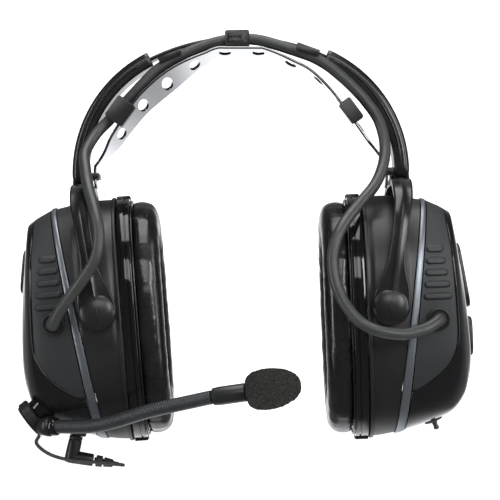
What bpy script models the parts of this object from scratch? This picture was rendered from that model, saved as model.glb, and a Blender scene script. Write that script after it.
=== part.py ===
"""Two-cup headset: arch band, comfort strap, sliding arms, tilting ear cups, boom microphone.

Frame: X to the viewer's right, Y away from the viewer, Z up. The origin is on the underside of
the comfort strap at its crown. Lengths are millimetres here; MM turns them into Blender metres.
Cup pieces use (u, y, w): u outward from the cup's pivot, y front to back, w up along the cup.
"""
import math

import bmesh
import bpy
from mathutils import Matrix, Vector

MM = 0.001
GAP = 0.3
SIDES = {"left": -1, "right": 1}

# Arch band: one wide top arc that runs tangentially into two tighter side arcs
SIDE_CENTRE_X, SIDE_CENTRE_Z = 14.6, -52.0
BAND_RADIUS, BAND_THICK, BAND_WIDTH = 54.3, 1.6, 12.0
BLEND_ANGLE, BAND_END_ANGLE = 27.0, 80.0
SHOE_START, SHOE_ANGLE, SHOE_HALF_THICK, SHOE_HALF_WIDTH = BAND_END_ANGLE + 0.35, 3.0, 1.3, 6.6
TOP_RADIUS = BAND_RADIUS + SIDE_CENTRE_X / math.sin(math.radians(BLEND_ANGLE))
TOP_CENTRE_Z = SIDE_CENTRE_Z - (TOP_RADIUS - BAND_RADIUS) * math.cos(math.radians(BLEND_ANGLE))

# Arms: hollow hoods that slide round the side arcs
HOOD_INNER, HOOD_OUTER, HOOD_WIDTH, HOOD_WALL = 51.0, 57.5, 18.0, 1.6
HOOD_START, HOOD_END = 23.6, 92.0
EXTENSION = {"left": 2.8, "right": 0.0}
CUP_LEAN = {"left": 4.4, "right": -2.2}

# Keepers and the strap tongues that run through them
KEEPER_START, KEEPER_END, KEEPER_INNER = 87.5, 90.5, 46.1
TONGUE_RADIUS, TONGUE_WIDTH, TONGUE_START, TONGUE_END = 47.3, 12.0, 87.0, 98.0

# Comfort strap: STRAP_TWIST is how far it rises toward its front edge, per millimetre, at an x
STRAP_WIDTH, STRAP_THICK = 32.0, 1.2
STRAP_ROUTE = {
    "left": [(9.0, 0.0), (14.0, -2.2), (20.5, -5.7), (26.4, -9.6), (32.4, -14.1), (38.0, -18.9),
             (42.9, -23.8), (49.8, -33.0), (56.4, -42.8)],
    "right": [(9.0, 0.0), (20.8, -4.6), (30.0, -9.2), (39.6, -18.3), (48.5, -29.7), (57.5, -42.5)],
}
STRAP_TWIST = [(-60.0, 0.06), (-47.0, 0.12), (-40.0, 0.16), (-32.0, 0.18), (-26.0, 0.15),
               (-20.0, 0.08), (-14.0, 0.03), (-9.0, 0.0), (9.0, 0.0), (24.0, -0.02),
               (40.0, -0.06), (50.0, -0.1), (60.0, -0.1)]
STRAP_HOLE_HALF_WIDTH, STRAP_HOLE_HALF_LENGTH = 2.6, 10.0
STRAP_STEP, NARROW_START, NARROW_LENGTH = 6.0, 73.0, 12.0
STRAP_HOLES_X = [-51.2, -42.0, -31.6, -19.8, -6.9, 7.6, 21.4, 33.4, 42.6, 50.6]

# Clips on the band: name, x, half length, top and low edges, front edge, top of the part in front
BAND_CLIPS = [("centre_clip", -1.6, 5.2, 2.6, -4.2, -14.0, 2.6),
              ("cable_clip_left", -31.2, 5.1, 1.6, -4.1, -15.4, -1.6),
              ("cable_clip_right", 28.8, 5.1, 1.6, -2.3, -15.4, 0.7)]
CLIP_BACK, CLIP_MARGIN, CLIP_SLOT_HALF, CLIP_CUT_BACK = 7.6, 0.3, 6.4, 4.9
CABLE_HOLE_MARGIN = 0.7
# Clips on the strap: name, x, low and high edges, slot for the strap, back edge, if it holds the cable
STRAP_CLIPS = [("strap_clip_left", -47.2, (0.1, 10.0), (0.7, 5.4), -9.7, True),
               ("strap_clip_right", 46.3, (-2.6, 4.9), (-1.9, 0.9), -11.9, False)]
STRAP_CLIP_HALF, STRAP_CLIP_FRONT, STRAP_SLOT_FRONT = 5.3, -19.0, -17.0
STRAP_CABLE_Y = -11.9

# Yokes: arched forks that carry the cups between two domed ends
PIVOT_X, PIVOT_Z = 62.0, -109.2
YOKE_HALF_WIDTH, YOKE_HEIGHT, YOKE_POWER = 46.2, 53.2, 4.0
YOKE_TOP_U, YOKE_LEAN_HEIGHT = 5.6, 44.0
YOKE_WIDTHS = [(0.0, 15.8), (7.4, 14.4), (12.0, 10.5), (17.0, 7.8), (24.0, 6.7), (34.0, 6.9), (44.0, 7.9),
               (54.0, 8.8)]
NECK_HALF_U, NECK_HALF_Y, NECK_RISE = 3.9, 7.0, 2.1
DOME_RADIUS, DOME_FACE, DOME_TIP = 8.1, 43.6, 49.0
PIN_RADIUS, PIN_HOLE_RADIUS, PIN_START, PIN_HOLE_END = 2.4, 2.8, 37.6, 46.0

# Ear cups: outline stations from the flange outward, each (top point, bottom point, half width)
OVAL_POWER = 2.6
CUP_FLANGE = ((-9.4, 47.5), (-9.4, -55.2), 42.0)
CUP_SHOULDER = ((3.0, 47.4), (-4.0, -54.7), 41.6)
STRIPE_INNER = ((15.7, 45.4), (1.0, -53.9), 39.8)
STRIPE_OUTER = ((18.2, 45.0), (5.5, -53.1), 39.0)
COVER_STATIONS = [
    ((18.6, 44.9), (5.9, -53.0), 38.8),
    ((24.2, 42.2), (16.8, -49.8), 37.4),
    ((28.4, 39.6), (25.8, -46.2), 35.2),
    ((29.4, 34.5), (30.9, -40.8), 31.6),
    ((30.4, 27.5), (33.4, -35.0), 26.0),
    ((31.9, 19.0), (35.2, -26.0), 18.0),
    ((33.8, 7.0), (35.2, -14.0), 8.0),
]
SHELL_WALL, COVER_WALL, STRIPE_RISE, STRIPE_DEPTH = 2.2, 1.8, 0.5, 2.6
PLATE_THICK, PLATE_OPENING, TAB_WIDTH, TAB_RISE = 6.0, 20.0, 11.0, 3.3
CUSHION_PROFILE = [(-15.7, 1.8), (-21.0, 0.9), (-25.4, 2.6), (-27.6, 6.6),
                   (-27.6, 14.6), (-25.4, 18.6), (-21.0, 20.4), (-15.7, 20.4)]
COVER_EDGE = [(25.5, 60.0), (25.5, 34.0), (26.8, 20.0), (27.7, 0.0), (27.7, -15.0), (24.5, -24.0),
              (18.0, -30.5), (10.0, -35.0), (-6.0, -38.5), (-6.0, 60.0)]

# Details on the cups
GLANDS, GLAND_RADIUS = {"left": (18.9, -4.1), "right": (20.0, -6.4)}, 4.7
RIB_TOP_U, RIB_TOP_W, RIB_PITCH, RIB_COUNT = 19.5, 23.1, 4.95, 5
RIB_SHIFT, RIB_HALF_LENGTHS, RIB_RADIUS = 0.38, (2.9, 5.4), 1.7
PORTS = {"left": (14.5, -8.0, -50.6, 17.0), "right": (18.7, 0.0, -49.4, 20.0)}
PORT_RADIUS, PORT_BORE = 4.0, 1.9
# Each button: height w of its centre, length, width, and the lean of its axis in degrees
BUTTONS = {
    "left": {"button_left": (19.5, 18.8, 12.0, 9.0)},
    "right": {"button_right_upper": (12.2, 28.0, 12.0, 8.5),
              "button_right_lower": (-14.0, 17.0, 12.0, 0.0)},
}
BUTTON_RISE, BUTTON_DEPTH, SLOT_REACH = 1.6, 3.4, 6.0

# Boom microphone, in world millimetres at rest
BOOM_PIVOT = Vector((-88.0, -18.0, -156.9))
BOOM_AXIS = Vector((-0.783, 0.0, -0.622)).normalized()
HUB_RADIUS, HUB_FRONT, HUB_BACK, HUB_CAP_RADIUS, HUB_CAP_THICK = 8.2, 1.2, -2.8, 7.4, 0.8
BOSS_REACH = -14.5
GOOSENECK_RADIUS = 2.95
GOOSENECK_ROUTE = [(-78.7, -28.0, -159.6), (-69.0, -34.0, -159.4), (-60.4, -39.5, -158.8),
                   (-51.8, -44.5, -156.8), (-37.1, -52.0, -152.2), (-22.6, -57.5, -148.8),
                   (-11.5, -61.0, -146.3)]
MIC_RADIUS, FOAM_RADIUS, FOAM_LENGTH, FOAM_NECK = 3.8, 8.5, 22.2, 0.86
STEM_RADIUS, STEM_REACH = 2.9, 7.0
MIC_START, FOAM_CENTRE = Vector((-11.2, -61.1, -146.2)), Vector((13.6, -66.0, -142.5))

# Cables, in world millimetres at rest
CABLE_RADIUS, LEAD_RADIUS = 2.4, 0.75
CABLE_TOP_ROUTE = [(-45.5, -11.9, -18.6), (-41.5, -11.9, -14.3), (-34.7, -11.4, -7.8), (-24.5, -10.2, -1.8),
                   (-14.3, -9.6, 2.4), (-6.8, -9.5, 4.3), (-1.0, -9.5, 4.9), (6.5, -9.5, 4.6),
                   (14.1, -9.6, 2.8), (24.3, -10.2, -0.6), (31.1, -11.2, -3.2), (37.9, -11.9, -7.3),
                   (45.0, -12.0, -13.2)]
CABLE_LEFT_ROUTE = [(-45.9, -11.9, -19.0), (-51.6, -11.9, -25.2), (-56.4, -12.0, -30.4),
                    (-60.6, -13.4, -34.8), (-64.0, -17.0, -40.2), (-65.9, -22.0, -45.8),
                    (-64.9, -29.5, -52.8), (-63.2, -38.0, -60.4), (-60.6, -46.0, -68.4),
                    (-58.4, -51.2, -76.4), (-58.1, -53.2, -84.0), (-60.1, -53.8, -91.6),
                    (-65.0, -53.2, -99.2), (-69.6, -50.6, -105.0), (-73.2, -47.2, -109.6)]
CABLE_RIGHT_ROUTE = [(45.5, -12.0, -13.7), (49.4, -12.1, -17.6), (53.5, -12.4, -22.3),
                     (58.3, -13.4, -29.4), (60.7, -16.0, -37.5), (60.9, -19.6, -45.1),
                     (59.3, -24.0, -52.0), (56.0, -29.0, -58.8), (50.4, -35.0, -65.6),
                     (44.8, -41.0, -72.3), (40.7, -45.5, -78.8), (38.2, -48.0, -86.6),
                     (38.0, -49.4, -94.3), (39.7, -50.6, -101.8), (43.4, -52.2, -109.4),
                     (49.4, -54.4, -116.1), (56.8, -55.6, -119.6), (66.8, -53.4, -120.9),
                     (73.6, -49.6, -119.4)]
PLUG_DROP, PLUG_RADIUS, PLUG_ARM_LENGTH, PLUG_ARM_RADIUS = 10.5, 2.9, 9.4, 2.7
PLUG_ARM = Vector((0.987, 0.0, -0.161)).normalized()
LEAD_ROUTE = [(-84.2, -28.6, -163.4), (-85.6, -26.5, -166.4), (-83.2, -23.4, -169.6),
              (-79.0, -20.4, -172.2), (-73.6, -17.6, -173.9), (-67.4, -15.6, -174.8),
              (-61.0, -14.2, -175.3), (-55.4, -12.8, -175.8), (-51.0, -10.8, -176.5),
              (-50.0, -9.0, -176.8), (-50.9, -8.0, -176.8)]


# ---------------------------------------------------------------- scene and materials

def clear_scene():
    for obj in list(bpy.data.objects):
        bpy.data.objects.remove(obj)


def new_collection(name):
    collection = bpy.data.collections.new(name)
    bpy.context.scene.collection.children.link(collection)
    return collection


def principled(name, colour, roughness, metallic=0.0):
    material = bpy.data.materials.new(name)
    material.use_nodes = True
    shader = material.node_tree.nodes["Principled BSDF"]
    shader.inputs["Base Color"].default_value = (*colour, 1.0)
    shader.inputs["Roughness"].default_value = roughness
    shader.inputs["Metallic"].default_value = metallic
    return material


clear_scene()
PARTS = new_collection("aviation_headset")
CUTTERS = new_collection("cutters")
BLACK_GLOSS = principled("black_gloss", (0.006, 0.006, 0.007), 0.12)
BLACK_SATIN = principled("black_satin", (0.012, 0.012, 0.013), 0.38)
SOFT_TOUCH = principled("soft_touch", (0.026, 0.029, 0.031), 0.62)
ACCENT = principled("accent_metal", (0.22, 0.25, 0.29), 0.32, 0.8)
LEATHERETTE = principled("leatherette", (0.008, 0.008, 0.008), 0.25)
RUBBER = principled("cable_rubber", (0.045, 0.047, 0.047), 0.5)
FOAM = principled("open_foam", (0.03, 0.03, 0.028), 0.95)
SPRING_STEEL = principled("spring_steel", (0.03, 0.03, 0.032), 0.35, 0.6)
BOARD_GREEN = principled("circuit_green", (0.02, 0.12, 0.05), 0.45)
CELL_WRAP = principled("battery_wrap", (0.06, 0.07, 0.12), 0.5)


# ---------------------------------------------------------------- mesh helpers

def finish(obj, material, frame=None):
    """Links an object, gives it its material and parents it to a frame whose axes it is built in."""
    obj.data.materials.append(material)
    PARTS.objects.link(obj)
    obj.parent = frame
    if obj.type == "MESH":
        obj.data.shade_smooth()
        obj.data.set_sharp_from_angle(angle=math.radians(35))
    return obj


def mesh_object(name, bm):
    bmesh.ops.recalc_face_normals(bm, faces=bm.faces)
    bmesh.ops.scale(bm, vec=(MM, MM, MM), verts=bm.verts)
    mesh = bpy.data.meshes.new(name)
    bm.to_mesh(mesh)
    bm.free()
    return bpy.data.objects.new(name, mesh)


def as_cutter(obj, frame=None):
    CUTTERS.objects.link(obj)
    obj.parent = frame
    obj.hide_render = True
    obj.display_type = "WIRE"
    return obj


def boolean(obj, other, operation="DIFFERENCE"):
    modifier = obj.modifiers.new(f"{operation.lower()}_{other.name}", "BOOLEAN")
    modifier.object = other
    modifier.operation = operation


def loft(rings, wrap=False):
    """A closed surface through rings of equal count: capped at both ends, or end joined to start."""
    bm = bmesh.new()
    loops = [[bm.verts.new(point) for point in ring] for ring in rings]
    pairs = list(zip(loops, loops[1:]))
    if wrap:
        pairs.append((loops[-1], loops[0]))
    for near, far in pairs:
        for i in range(len(near)):
            j = (i + 1) % len(near)
            bm.faces.new((near[i], near[j], far[j], far[i]))
    if not wrap:
        bm.faces.new(loops[0])
        bm.faces.new(loops[-1])
    return bm


def box_mesh(low, high):
    bm = bmesh.new()
    bmesh.ops.create_cube(bm, size=1.0)
    low, high = Vector(low), Vector(high)
    bmesh.ops.scale(bm, vec=high - low, verts=bm.verts)
    bmesh.ops.translate(bm, vec=(low + high) / 2, verts=bm.verts)
    return bm


def turned(name, profile, centre, axis, sides=16):
    """A solid of revolution: profile (radius, height) runs from top to bottom along the axis."""
    mesh = bpy.data.meshes.new(name)
    points = [(radius * MM, 0.0, height * MM) for radius, height in profile]
    closed = profile[0][0] > 0
    edges = [(i, i + 1) for i in range(len(points) - 1)]
    if closed:
        edges.append((len(points) - 1, 0))
    mesh.from_pydata(points, edges, [])
    obj = bpy.data.objects.new(name, mesh)
    screw = obj.modifiers.new("turn", "SCREW")
    screw.steps = screw.render_steps = sides
    screw.use_merge_vertices = True
    screw.merge_threshold = 0.00001
    obj.location = Vector(centre) * MM
    obj.rotation_mode = "QUATERNION"
    obj.rotation_quaternion = Vector(axis).to_track_quat("Z", "Y")
    return obj


def smooth_route(points, spacing):
    """Points a set distance apart along a Catmull-Rom curve through a route."""
    knots = [Vector(p) for p in points]
    knots = [2 * knots[0] - knots[1], *knots, 2 * knots[-1] - knots[-2]]
    fine = []
    for a, b, c, d in zip(knots, knots[1:], knots[2:], knots[3:]):
        for step in range(12):
            t = step / 12
            fine.append(0.5 * (2 * b + (c - a) * t + (2 * a - 5 * b + 4 * c - d) * t * t
                               + (3 * b - a - 3 * c + d) * t ** 3))
    fine.append(knots[-2])
    length = sum((q - p).length for p, q in zip(fine, fine[1:]))
    wanted = max(2, round(length / spacing))
    placed, walked, target = [fine[0]], 0.0, length / wanted
    for p, q in zip(fine, fine[1:]):
        step = (q - p).length
        while walked + step >= target * len(placed) and len(placed) < wanted:
            placed.append(p.lerp(q, (target * len(placed) - walked) / step))
        walked += step
    return placed + [fine[-1]]


def tube(name, route, radius, material, resolution=2):
    """A capped tube along a smooth route, as a poly curve."""
    curve = bpy.data.curves.new(name, "CURVE")
    curve.dimensions = "3D"
    curve.bevel_depth = radius * MM
    curve.bevel_resolution = resolution
    curve.use_fill_caps = True
    points = smooth_route(route, 4.8 * radius)
    spline = curve.splines.new("POLY")
    spline.points.add(len(points) - 1)
    for place, point in zip(spline.points, points):
        place.co = (*(point * MM), 1.0)
    return finish(bpy.data.objects.new(name, curve), material)


def prism(outline, half_depth):
    """An outline of (u, w) points carried through +-half_depth along y."""
    rings = [[(u, y, w) for u, w in outline] for y in (-half_depth, half_depth)]
    return loft(rings)


# ---------------------------------------------------------------- frames on the joint axes

def empty(name, location, turn=0.0, parent=None):
    obj = bpy.data.objects.new(name, None)
    PARTS.objects.link(obj)
    obj.location = Vector(location) * MM
    obj.rotation_euler = (0.0, math.radians(turn), 0.0)
    obj.empty_display_size = 0.01
    obj.parent = parent
    return obj


def side_centre(side):
    return Vector((side * SIDE_CENTRE_X, 0.0, SIDE_CENTRE_Z))


def pivot_offset(side):
    """From a side centre to the cup's pivot, with the arm pushed fully in."""
    return Vector((side * PIVOT_X, 0.0, PIVOT_Z)) - side_centre(side)


def make_frames():
    arms, cups = {}, {}
    for name, side in SIDES.items():
        arms[name] = empty(f"arm_{name}_slide", side_centre(side), side * EXTENSION[name])
        tilt = side * (CUP_LEAN[name] - EXTENSION[name])
        cups[name] = empty(f"cup_{name}_pivot", pivot_offset(side), tilt, arms[name])
    bpy.context.view_layer.update()
    return arms, cups


def hold(obj, frame):
    """Parents an object that is placed in world space, and leaves it where it is."""
    obj.parent = frame
    obj.matrix_parent_inverse = frame.matrix_world.inverted()


def arc_point(side, radius, angle, y=0.0):
    """A point about a side centre; the angle runs from straight up, outward and down."""
    a = math.radians(angle)
    return Vector((side * radius * math.sin(a), y, radius * math.cos(a)))


def arc_angles(start, end, step):
    count = max(1, round((end - start) / step))
    return [start + (end - start) * k / count for k in range(count + 1)]


# ---------------------------------------------------------------- headband

def band_path(offset):
    """The arch band's outline, offset outward from its middle line, from left end to right end."""
    top_centre = Vector((0, 0, TOP_CENTRE_Z))
    half = [top_centre + arc_point(1, TOP_RADIUS + offset, a) for a in arc_angles(0.0, BLEND_ANGLE, 4.5)]
    half += [side_centre(1) + arc_point(1, BAND_RADIUS + offset, a)
             for a in arc_angles(BLEND_ANGLE, BAND_END_ANGLE, 5.0)[1:]]
    mirrored = [Vector((-p.x, p.y, p.z)) for p in half[:0:-1]]
    return mirrored + half


def make_band():
    """The sprung strip, as a flat outline extruded across its width."""
    curve = bpy.data.curves.new("arch_band", "CURVE")
    curve.dimensions = "2D"
    curve.fill_mode = "BOTH"
    curve.extrude = BAND_WIDTH / 2 * MM
    outline = band_path(BAND_THICK / 2) + band_path(-BAND_THICK / 2)[::-1]
    spline = curve.splines.new("POLY")
    spline.points.add(len(outline) - 1)
    for place, point in zip(spline.points, outline):
        place.co = (point.x * MM, point.z * MM, 0.0, 1.0)
    spline.use_cyclic_u = True
    obj = finish(bpy.data.objects.new("arch_band", curve), SPRING_STEEL)
    obj.rotation_euler = (math.radians(90), 0.0, 0.0)


def arc_block(name, side, radii, half_width, angles, material, frame=None, step=5.0):
    """A block bent round a side arc; with no frame it is placed about the side centre."""
    rings = [[arc_point(side, r, a, y) for r, y in ((radii[0], -half_width), (radii[1], -half_width),
                                                    (radii[1], half_width), (radii[0], half_width))]
             for a in arc_angles(*angles, step)]
    obj = finish(mesh_object(name, loft(rings)), material, frame)
    if frame is None:
        obj.location = side_centre(side) * MM
    return obj


def make_shoes():
    """The shoes on the band's ends, which run inside the hoods."""
    for name, side in SIDES.items():
        radii = (BAND_RADIUS - SHOE_HALF_THICK, BAND_RADIUS + SHOE_HALF_THICK)
        angles = (SHOE_START, SHOE_START + SHOE_ANGLE)
        arc_block(f"slide_shoe_{name}", side, radii, SHOE_HALF_WIDTH, angles, BLACK_SATIN)


def strap_knots():
    """The strap's underside line, from left tongue to right tongue."""
    halves = []
    for name, side in SIDES.items():
        route = [Vector((side * x, 0, z)) for x, z in STRAP_ROUTE[name]]
        tongue = [side_centre(side) + arc_point(side, TONGUE_RADIUS, a)
                  for a in arc_angles(TONGUE_START, TONGUE_END, 5.5)]
        halves.append([route[0], *smooth_route(route[1:] + tongue[:1], STRAP_STEP), *tongue[1:]])
    return halves[0][::-1] + halves[1]


def interpolated(table, at):
    """The value that a table of (place, value) gives at a place between its ends."""
    for (low, first), (high, second) in zip(table, table[1:]):
        if low <= at <= high:
            return first + (second - first) * (at - low) / (high - low)
    return table[-1][1]


def strap_section(points, i):
    """One cross-section: underside and top, front and back."""
    here = points[i]
    ahead = (points[min(i + 1, len(points) - 1)] - points[max(i - 1, 0)]).normalized()
    normal = Vector((-ahead.z, 0, ahead.x))
    if abs(here.x) <= STRAP_ROUTE["left"][0][0]:
        normal = Vector((0, 0, 1))
    tongue_z = SIDE_CENTRE_Z + TONGUE_RADIUS * math.cos(math.radians(NARROW_START))
    narrow = min(1.0, max(0.0, (tongue_z - here.z) / NARROW_LENGTH))
    half = (STRAP_WIDTH + (TONGUE_WIDTH - STRAP_WIDTH) * narrow) / 2
    twist = interpolated(STRAP_TWIST, here.x) * (1 - narrow)
    corners = ((-half, 0), (-half, STRAP_THICK), (half, STRAP_THICK), (half, 0))
    return [here + normal * (lift - twist * y) + Vector((0, y, 0)) for y, lift in corners]


def strap_place(points, x):
    """The point, direction and outward normal on the strap's underside line at an x."""
    inner = range(1, len(points))
    i = min(inner, key=lambda k: abs((points[k] + points[k - 1]).x / 2 - x))
    a, b = points[i - 1], points[i]
    ahead = (b - a).normalized()
    return a.lerp(b, (x - a.x) / (b.x - a.x)), ahead, Vector((-ahead.z, 0, ahead.x))


def make_strap():
    """The comfort strap, with its row of long holes across its width."""
    points = strap_knots()
    sections = [strap_section(points, i) for i in range(len(points))]
    strap = finish(mesh_object("comfort_strap", loft(sections)), BLACK_GLOSS)
    punches = bmesh.new()
    for x in STRAP_HOLES_X:
        at, ahead, normal = strap_place(points, x)
        made = bmesh.ops.create_cone(punches, cap_ends=True, segments=12, radius1=1.0, radius2=1.0,
                                     depth=8.0)["verts"]
        size = (STRAP_HOLE_HALF_WIDTH, STRAP_HOLE_HALF_LENGTH, 1.0)
        bmesh.ops.scale(punches, verts=made, vec=size)
        turn = Matrix((ahead, (0, 1, 0), normal)).transposed()
        bmesh.ops.rotate(punches, verts=made, matrix=turn)
        bmesh.ops.translate(punches, verts=made, vec=at)
    boolean(strap, as_cutter(mesh_object("strap_punches", punches)))


def oriented(bm, centre, tangent):
    """Turns a mesh whose +X is the tangent and +Z the outward normal, and moves it to its place."""
    turn = math.atan2(-tangent[1], tangent[0])
    rotation = Vector((math.cos(turn), 0, -math.sin(turn)))
    for vert in bm.verts:
        x, z = vert.co.x, vert.co.z
        vert.co.x = centre[0] + x * rotation.x - z * rotation.z
        vert.co.z = centre[2] + x * rotation.z + z * rotation.x
        vert.co.y += centre[1]
    return bm


def channel(name, centre, tangent, low, high):
    return as_cutter(mesh_object(name, oriented(box_mesh(low, high), centre, tangent)))


def cable_hole(name, centre, tangent):
    """A cutter that leaves room round the cable."""
    radius = CABLE_RADIUS + CABLE_HOLE_MARGIN
    bm = bmesh.new()
    made = bmesh.ops.create_cone(bm, cap_ends=True, segments=14, radius1=radius, radius2=radius, depth=40.0)
    bmesh.ops.rotate(bm, verts=made["verts"], matrix=Vector((1, 0, 0)).to_track_quat("Z", "Y").to_matrix())
    return as_cutter(mesh_object(name, oriented(bm, centre, tangent)))


def make_band_clips():
    """The centre clip and the two slender hooks that hang the cable beside the band."""
    route = smooth_route(CABLE_TOP_ROUTE, 1.0)
    for name, x, half, top, low, front, roof in BAND_CLIPS:
        a = math.asin(x / TOP_RADIUS)
        centre = (x, 0.0, TOP_CENTRE_Z + TOP_RADIUS * math.cos(a))
        tangent = (math.cos(a), -math.sin(a))
        block = box_mesh((-half, front, low), (half, CLIP_BACK, top))
        clip = finish(mesh_object(name, oriented(block, centre, tangent)), BLACK_SATIN)
        slot = BAND_THICK / 2 + CLIP_MARGIN
        low_corner, high_corner = (-30, -CLIP_SLOT_HALF, -slot), (30, CLIP_SLOT_HALF, slot)
        boolean(clip, channel(f"{name}_band_slot", centre, tangent, low_corner, high_corner))
        if roof < top:
            high_corner = (30, CLIP_CUT_BACK, 10)
            boolean(clip, channel(f"{name}_front_cut", centre, tangent, (-30, -30, roof), high_corner))
        near = min(range(1, len(route) - 1), key=lambda i: abs(route[i].x - centre[0]))
        ahead = route[near + 1] - route[near - 1]
        boolean(clip, cable_hole(f"{name}_cable_hole", route[near], (ahead.x, ahead.z)))


def make_strap_clips():
    """The wide clips on the strap's front edge; the left one holds the cable, the right one is empty."""
    points = strap_knots()
    for name, x, (low, high), slot, back, cable in STRAP_CLIPS:
        at, ahead, normal = strap_place(points, x)
        tangent = (ahead.x, ahead.z)
        block = box_mesh((-STRAP_CLIP_HALF, STRAP_CLIP_FRONT, low), (STRAP_CLIP_HALF, back, high))
        clip = finish(mesh_object(name, oriented(block, at, tangent)), BLACK_SATIN)
        low_corner, high_corner = (-9, STRAP_SLOT_FRONT, slot[0]), (9, 0, slot[1])
        boolean(clip, channel(f"{name}_strap_slot", at, tangent, low_corner, high_corner))
        if cable:
            wanted = at + normal * (low + high) / 2 + Vector((0, STRAP_CABLE_Y, 0))
            route = smooth_route(CABLE_LEFT_ROUTE, 1.0)
            near = min(range(1, len(route) - 1), key=lambda i: (route[i] - wanted).length)
            run = route[near - 1] - route[near + 1]
            boolean(clip, cable_hole(f"{name}_cable_hole", route[near], (run.x, run.z)))


# ---------------------------------------------------------------- arms

def make_hood(name, side, frame):
    """A hollow sleeve round the band's end, with a rounded crown and a closed lower end."""
    def ring(angle, inner, outer, half, rounding):
        middle, crown, edge = (inner + outer) / 2, half - 2.4 * rounding, half - 0.35 * rounding
        outline = [(inner, -crown), (inner + 0.5 * rounding, -half), (middle, -half),
                   (outer - rounding, -edge), (outer, -crown), (outer, crown), (outer - rounding, edge),
                   (middle, half), (inner + 0.5 * rounding, half), (inner, crown)]
        return [arc_point(side, r, angle, y) for r, y in outline]

    wall = HOOD_WALL
    span = arc_angles(HOOD_START, HOOD_END - 5, 7.0)
    outer = [ring(a, HOOD_INNER, HOOD_OUTER, HOOD_WIDTH / 2, 1.6) for a in span]
    outer.append(ring(HOOD_END, HOOD_INNER + 0.5, HOOD_OUTER - 0.6, HOOD_WIDTH / 2 - 2.2, 1.2))
    inner = [ring(a, HOOD_INNER + wall, HOOD_OUTER - wall, HOOD_WIDTH / 2 - wall + 0.2, 0.3) for a in span]
    finish(mesh_object(f"hood_{name}", loft(outer[::-1] + inner)), BLACK_GLOSS, frame)


def make_keeper(name, side, frame):
    """The loop on the hood's inner face that the strap's tongue slides through."""
    hole = ((TONGUE_RADIUS - 0.45, TONGUE_RADIUS + STRAP_THICK + 0.45), 6.5)
    outer = ((KEEPER_INNER, HOOD_INNER - GAP), 7.9)

    def ring(angle, section):
        (low, high), half = section
        corners = ((low, -half), (high, -half), (high, half), (low, half))
        return [arc_point(side, r, angle, y) for r, y in corners]

    rings = [ring(KEEPER_START, outer), ring(KEEPER_END, outer), ring(KEEPER_END, hole)]
    rings.append(ring(KEEPER_START, hole))
    finish(mesh_object(f"strap_keeper_{name}", loft(rings, wrap=True)), BLACK_SATIN, frame)


def make_yoke(name, side, frame):
    """The fork: one arched strip from front dome to back dome, waisted above the domes."""
    steps = [90 * (k / 9) ** 2 for k in range(10)]
    rings = []
    for a in steps + [180 - a for a in steps[-2::-1]]:
        sine, cosine = math.sin(math.radians(a)), math.cos(math.radians(a))
        y = -YOKE_HALF_WIDTH * math.copysign(abs(cosine) ** (2 / YOKE_POWER), cosine)
        w = YOKE_HEIGHT * max(0.0, sine) ** (2 / YOKE_POWER)
        normal = Vector((0, y / YOKE_HALF_WIDTH ** 2 * abs(y / YOKE_HALF_WIDTH) ** (YOKE_POWER - 2),
                         w / YOKE_HEIGHT ** 2 * (w / YOKE_HEIGHT) ** (YOKE_POWER - 2))).normalized()
        half = interpolated(YOKE_WIDTHS, w) / 2
        middle = Vector((side * YOKE_TOP_U * min(1.0, w / YOKE_LEAN_HEIGHT), y, w)) + pivot_offset(side)
        section = ((-half, -1.7), (-half, 0.9), (-half * 0.55, 1.7), (half * 0.55, 1.7), (half, 0.9),
                   (half, -1.7))
        rings.append([middle + Vector((side * u, 0, 0)) + normal * t for u, t in section])
    yoke = finish(mesh_object(f"yoke_{name}", loft(rings)), BLACK_GLOSS, frame)
    neck = box_mesh((-NECK_HALF_U, -NECK_HALF_Y, 0.0), (NECK_HALF_U, NECK_HALF_Y, NECK_RISE))
    foot = pivot_offset(side) + Vector((side * YOKE_TOP_U, 0, YOKE_HEIGHT - 0.5))
    bmesh.ops.translate(neck, vec=foot, verts=neck.verts)
    boolean(yoke, as_cutter(mesh_object(f"yoke_{name}_neck", neck), frame), "UNION")
    profile = [(0, DOME_TIP), (3.4, DOME_TIP - 0.3), (6.4, DOME_TIP - 1.3), (DOME_RADIUS, DOME_TIP - 3),
               (DOME_RADIUS, DOME_FACE), (PIN_RADIUS, DOME_FACE), (PIN_RADIUS, PIN_START), (0, PIN_START)]
    for end, turn in (("front", -1), ("back", 1)):
        dome = turned(f"yoke_{name}_{end}_dome", profile, pivot_offset(side), (0, turn, 0), 12)
        boolean(yoke, as_cutter(dome, frame), "UNION")


def make_arms(arms):
    for name, side in SIDES.items():
        make_hood(name, side, arms[name])
        make_keeper(name, side, arms[name])
        make_yoke(name, side, arms[name])


# ---------------------------------------------------------------- ear cups

def cup_ring(side, station, inset=0.0, shift=0.0, count=24):
    """An oval ring of a cup station, pulled in by inset and moved along u by shift."""
    (u_top, w_top), (u_low, w_low), half = station
    middle = Vector(((u_top + u_low) / 2 + shift, 0, (w_top + w_low) / 2))
    reach = Vector(((u_top - u_low) / 2, 0, (w_top - w_low) / 2))
    reach *= 1 - inset / reach.length
    ring = []
    for k in range(count):
        angle = 2 * math.pi * k / count
        across = math.copysign(abs(math.cos(angle)) ** (2 / OVAL_POWER), math.cos(angle))
        along = math.copysign(abs(math.sin(angle)) ** (2 / OVAL_POWER), math.sin(angle))
        point = middle + reach * along + Vector((0, (half - inset) * across, 0))
        ring.append((side * point.x, point.y, point.z))
    return ring


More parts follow.
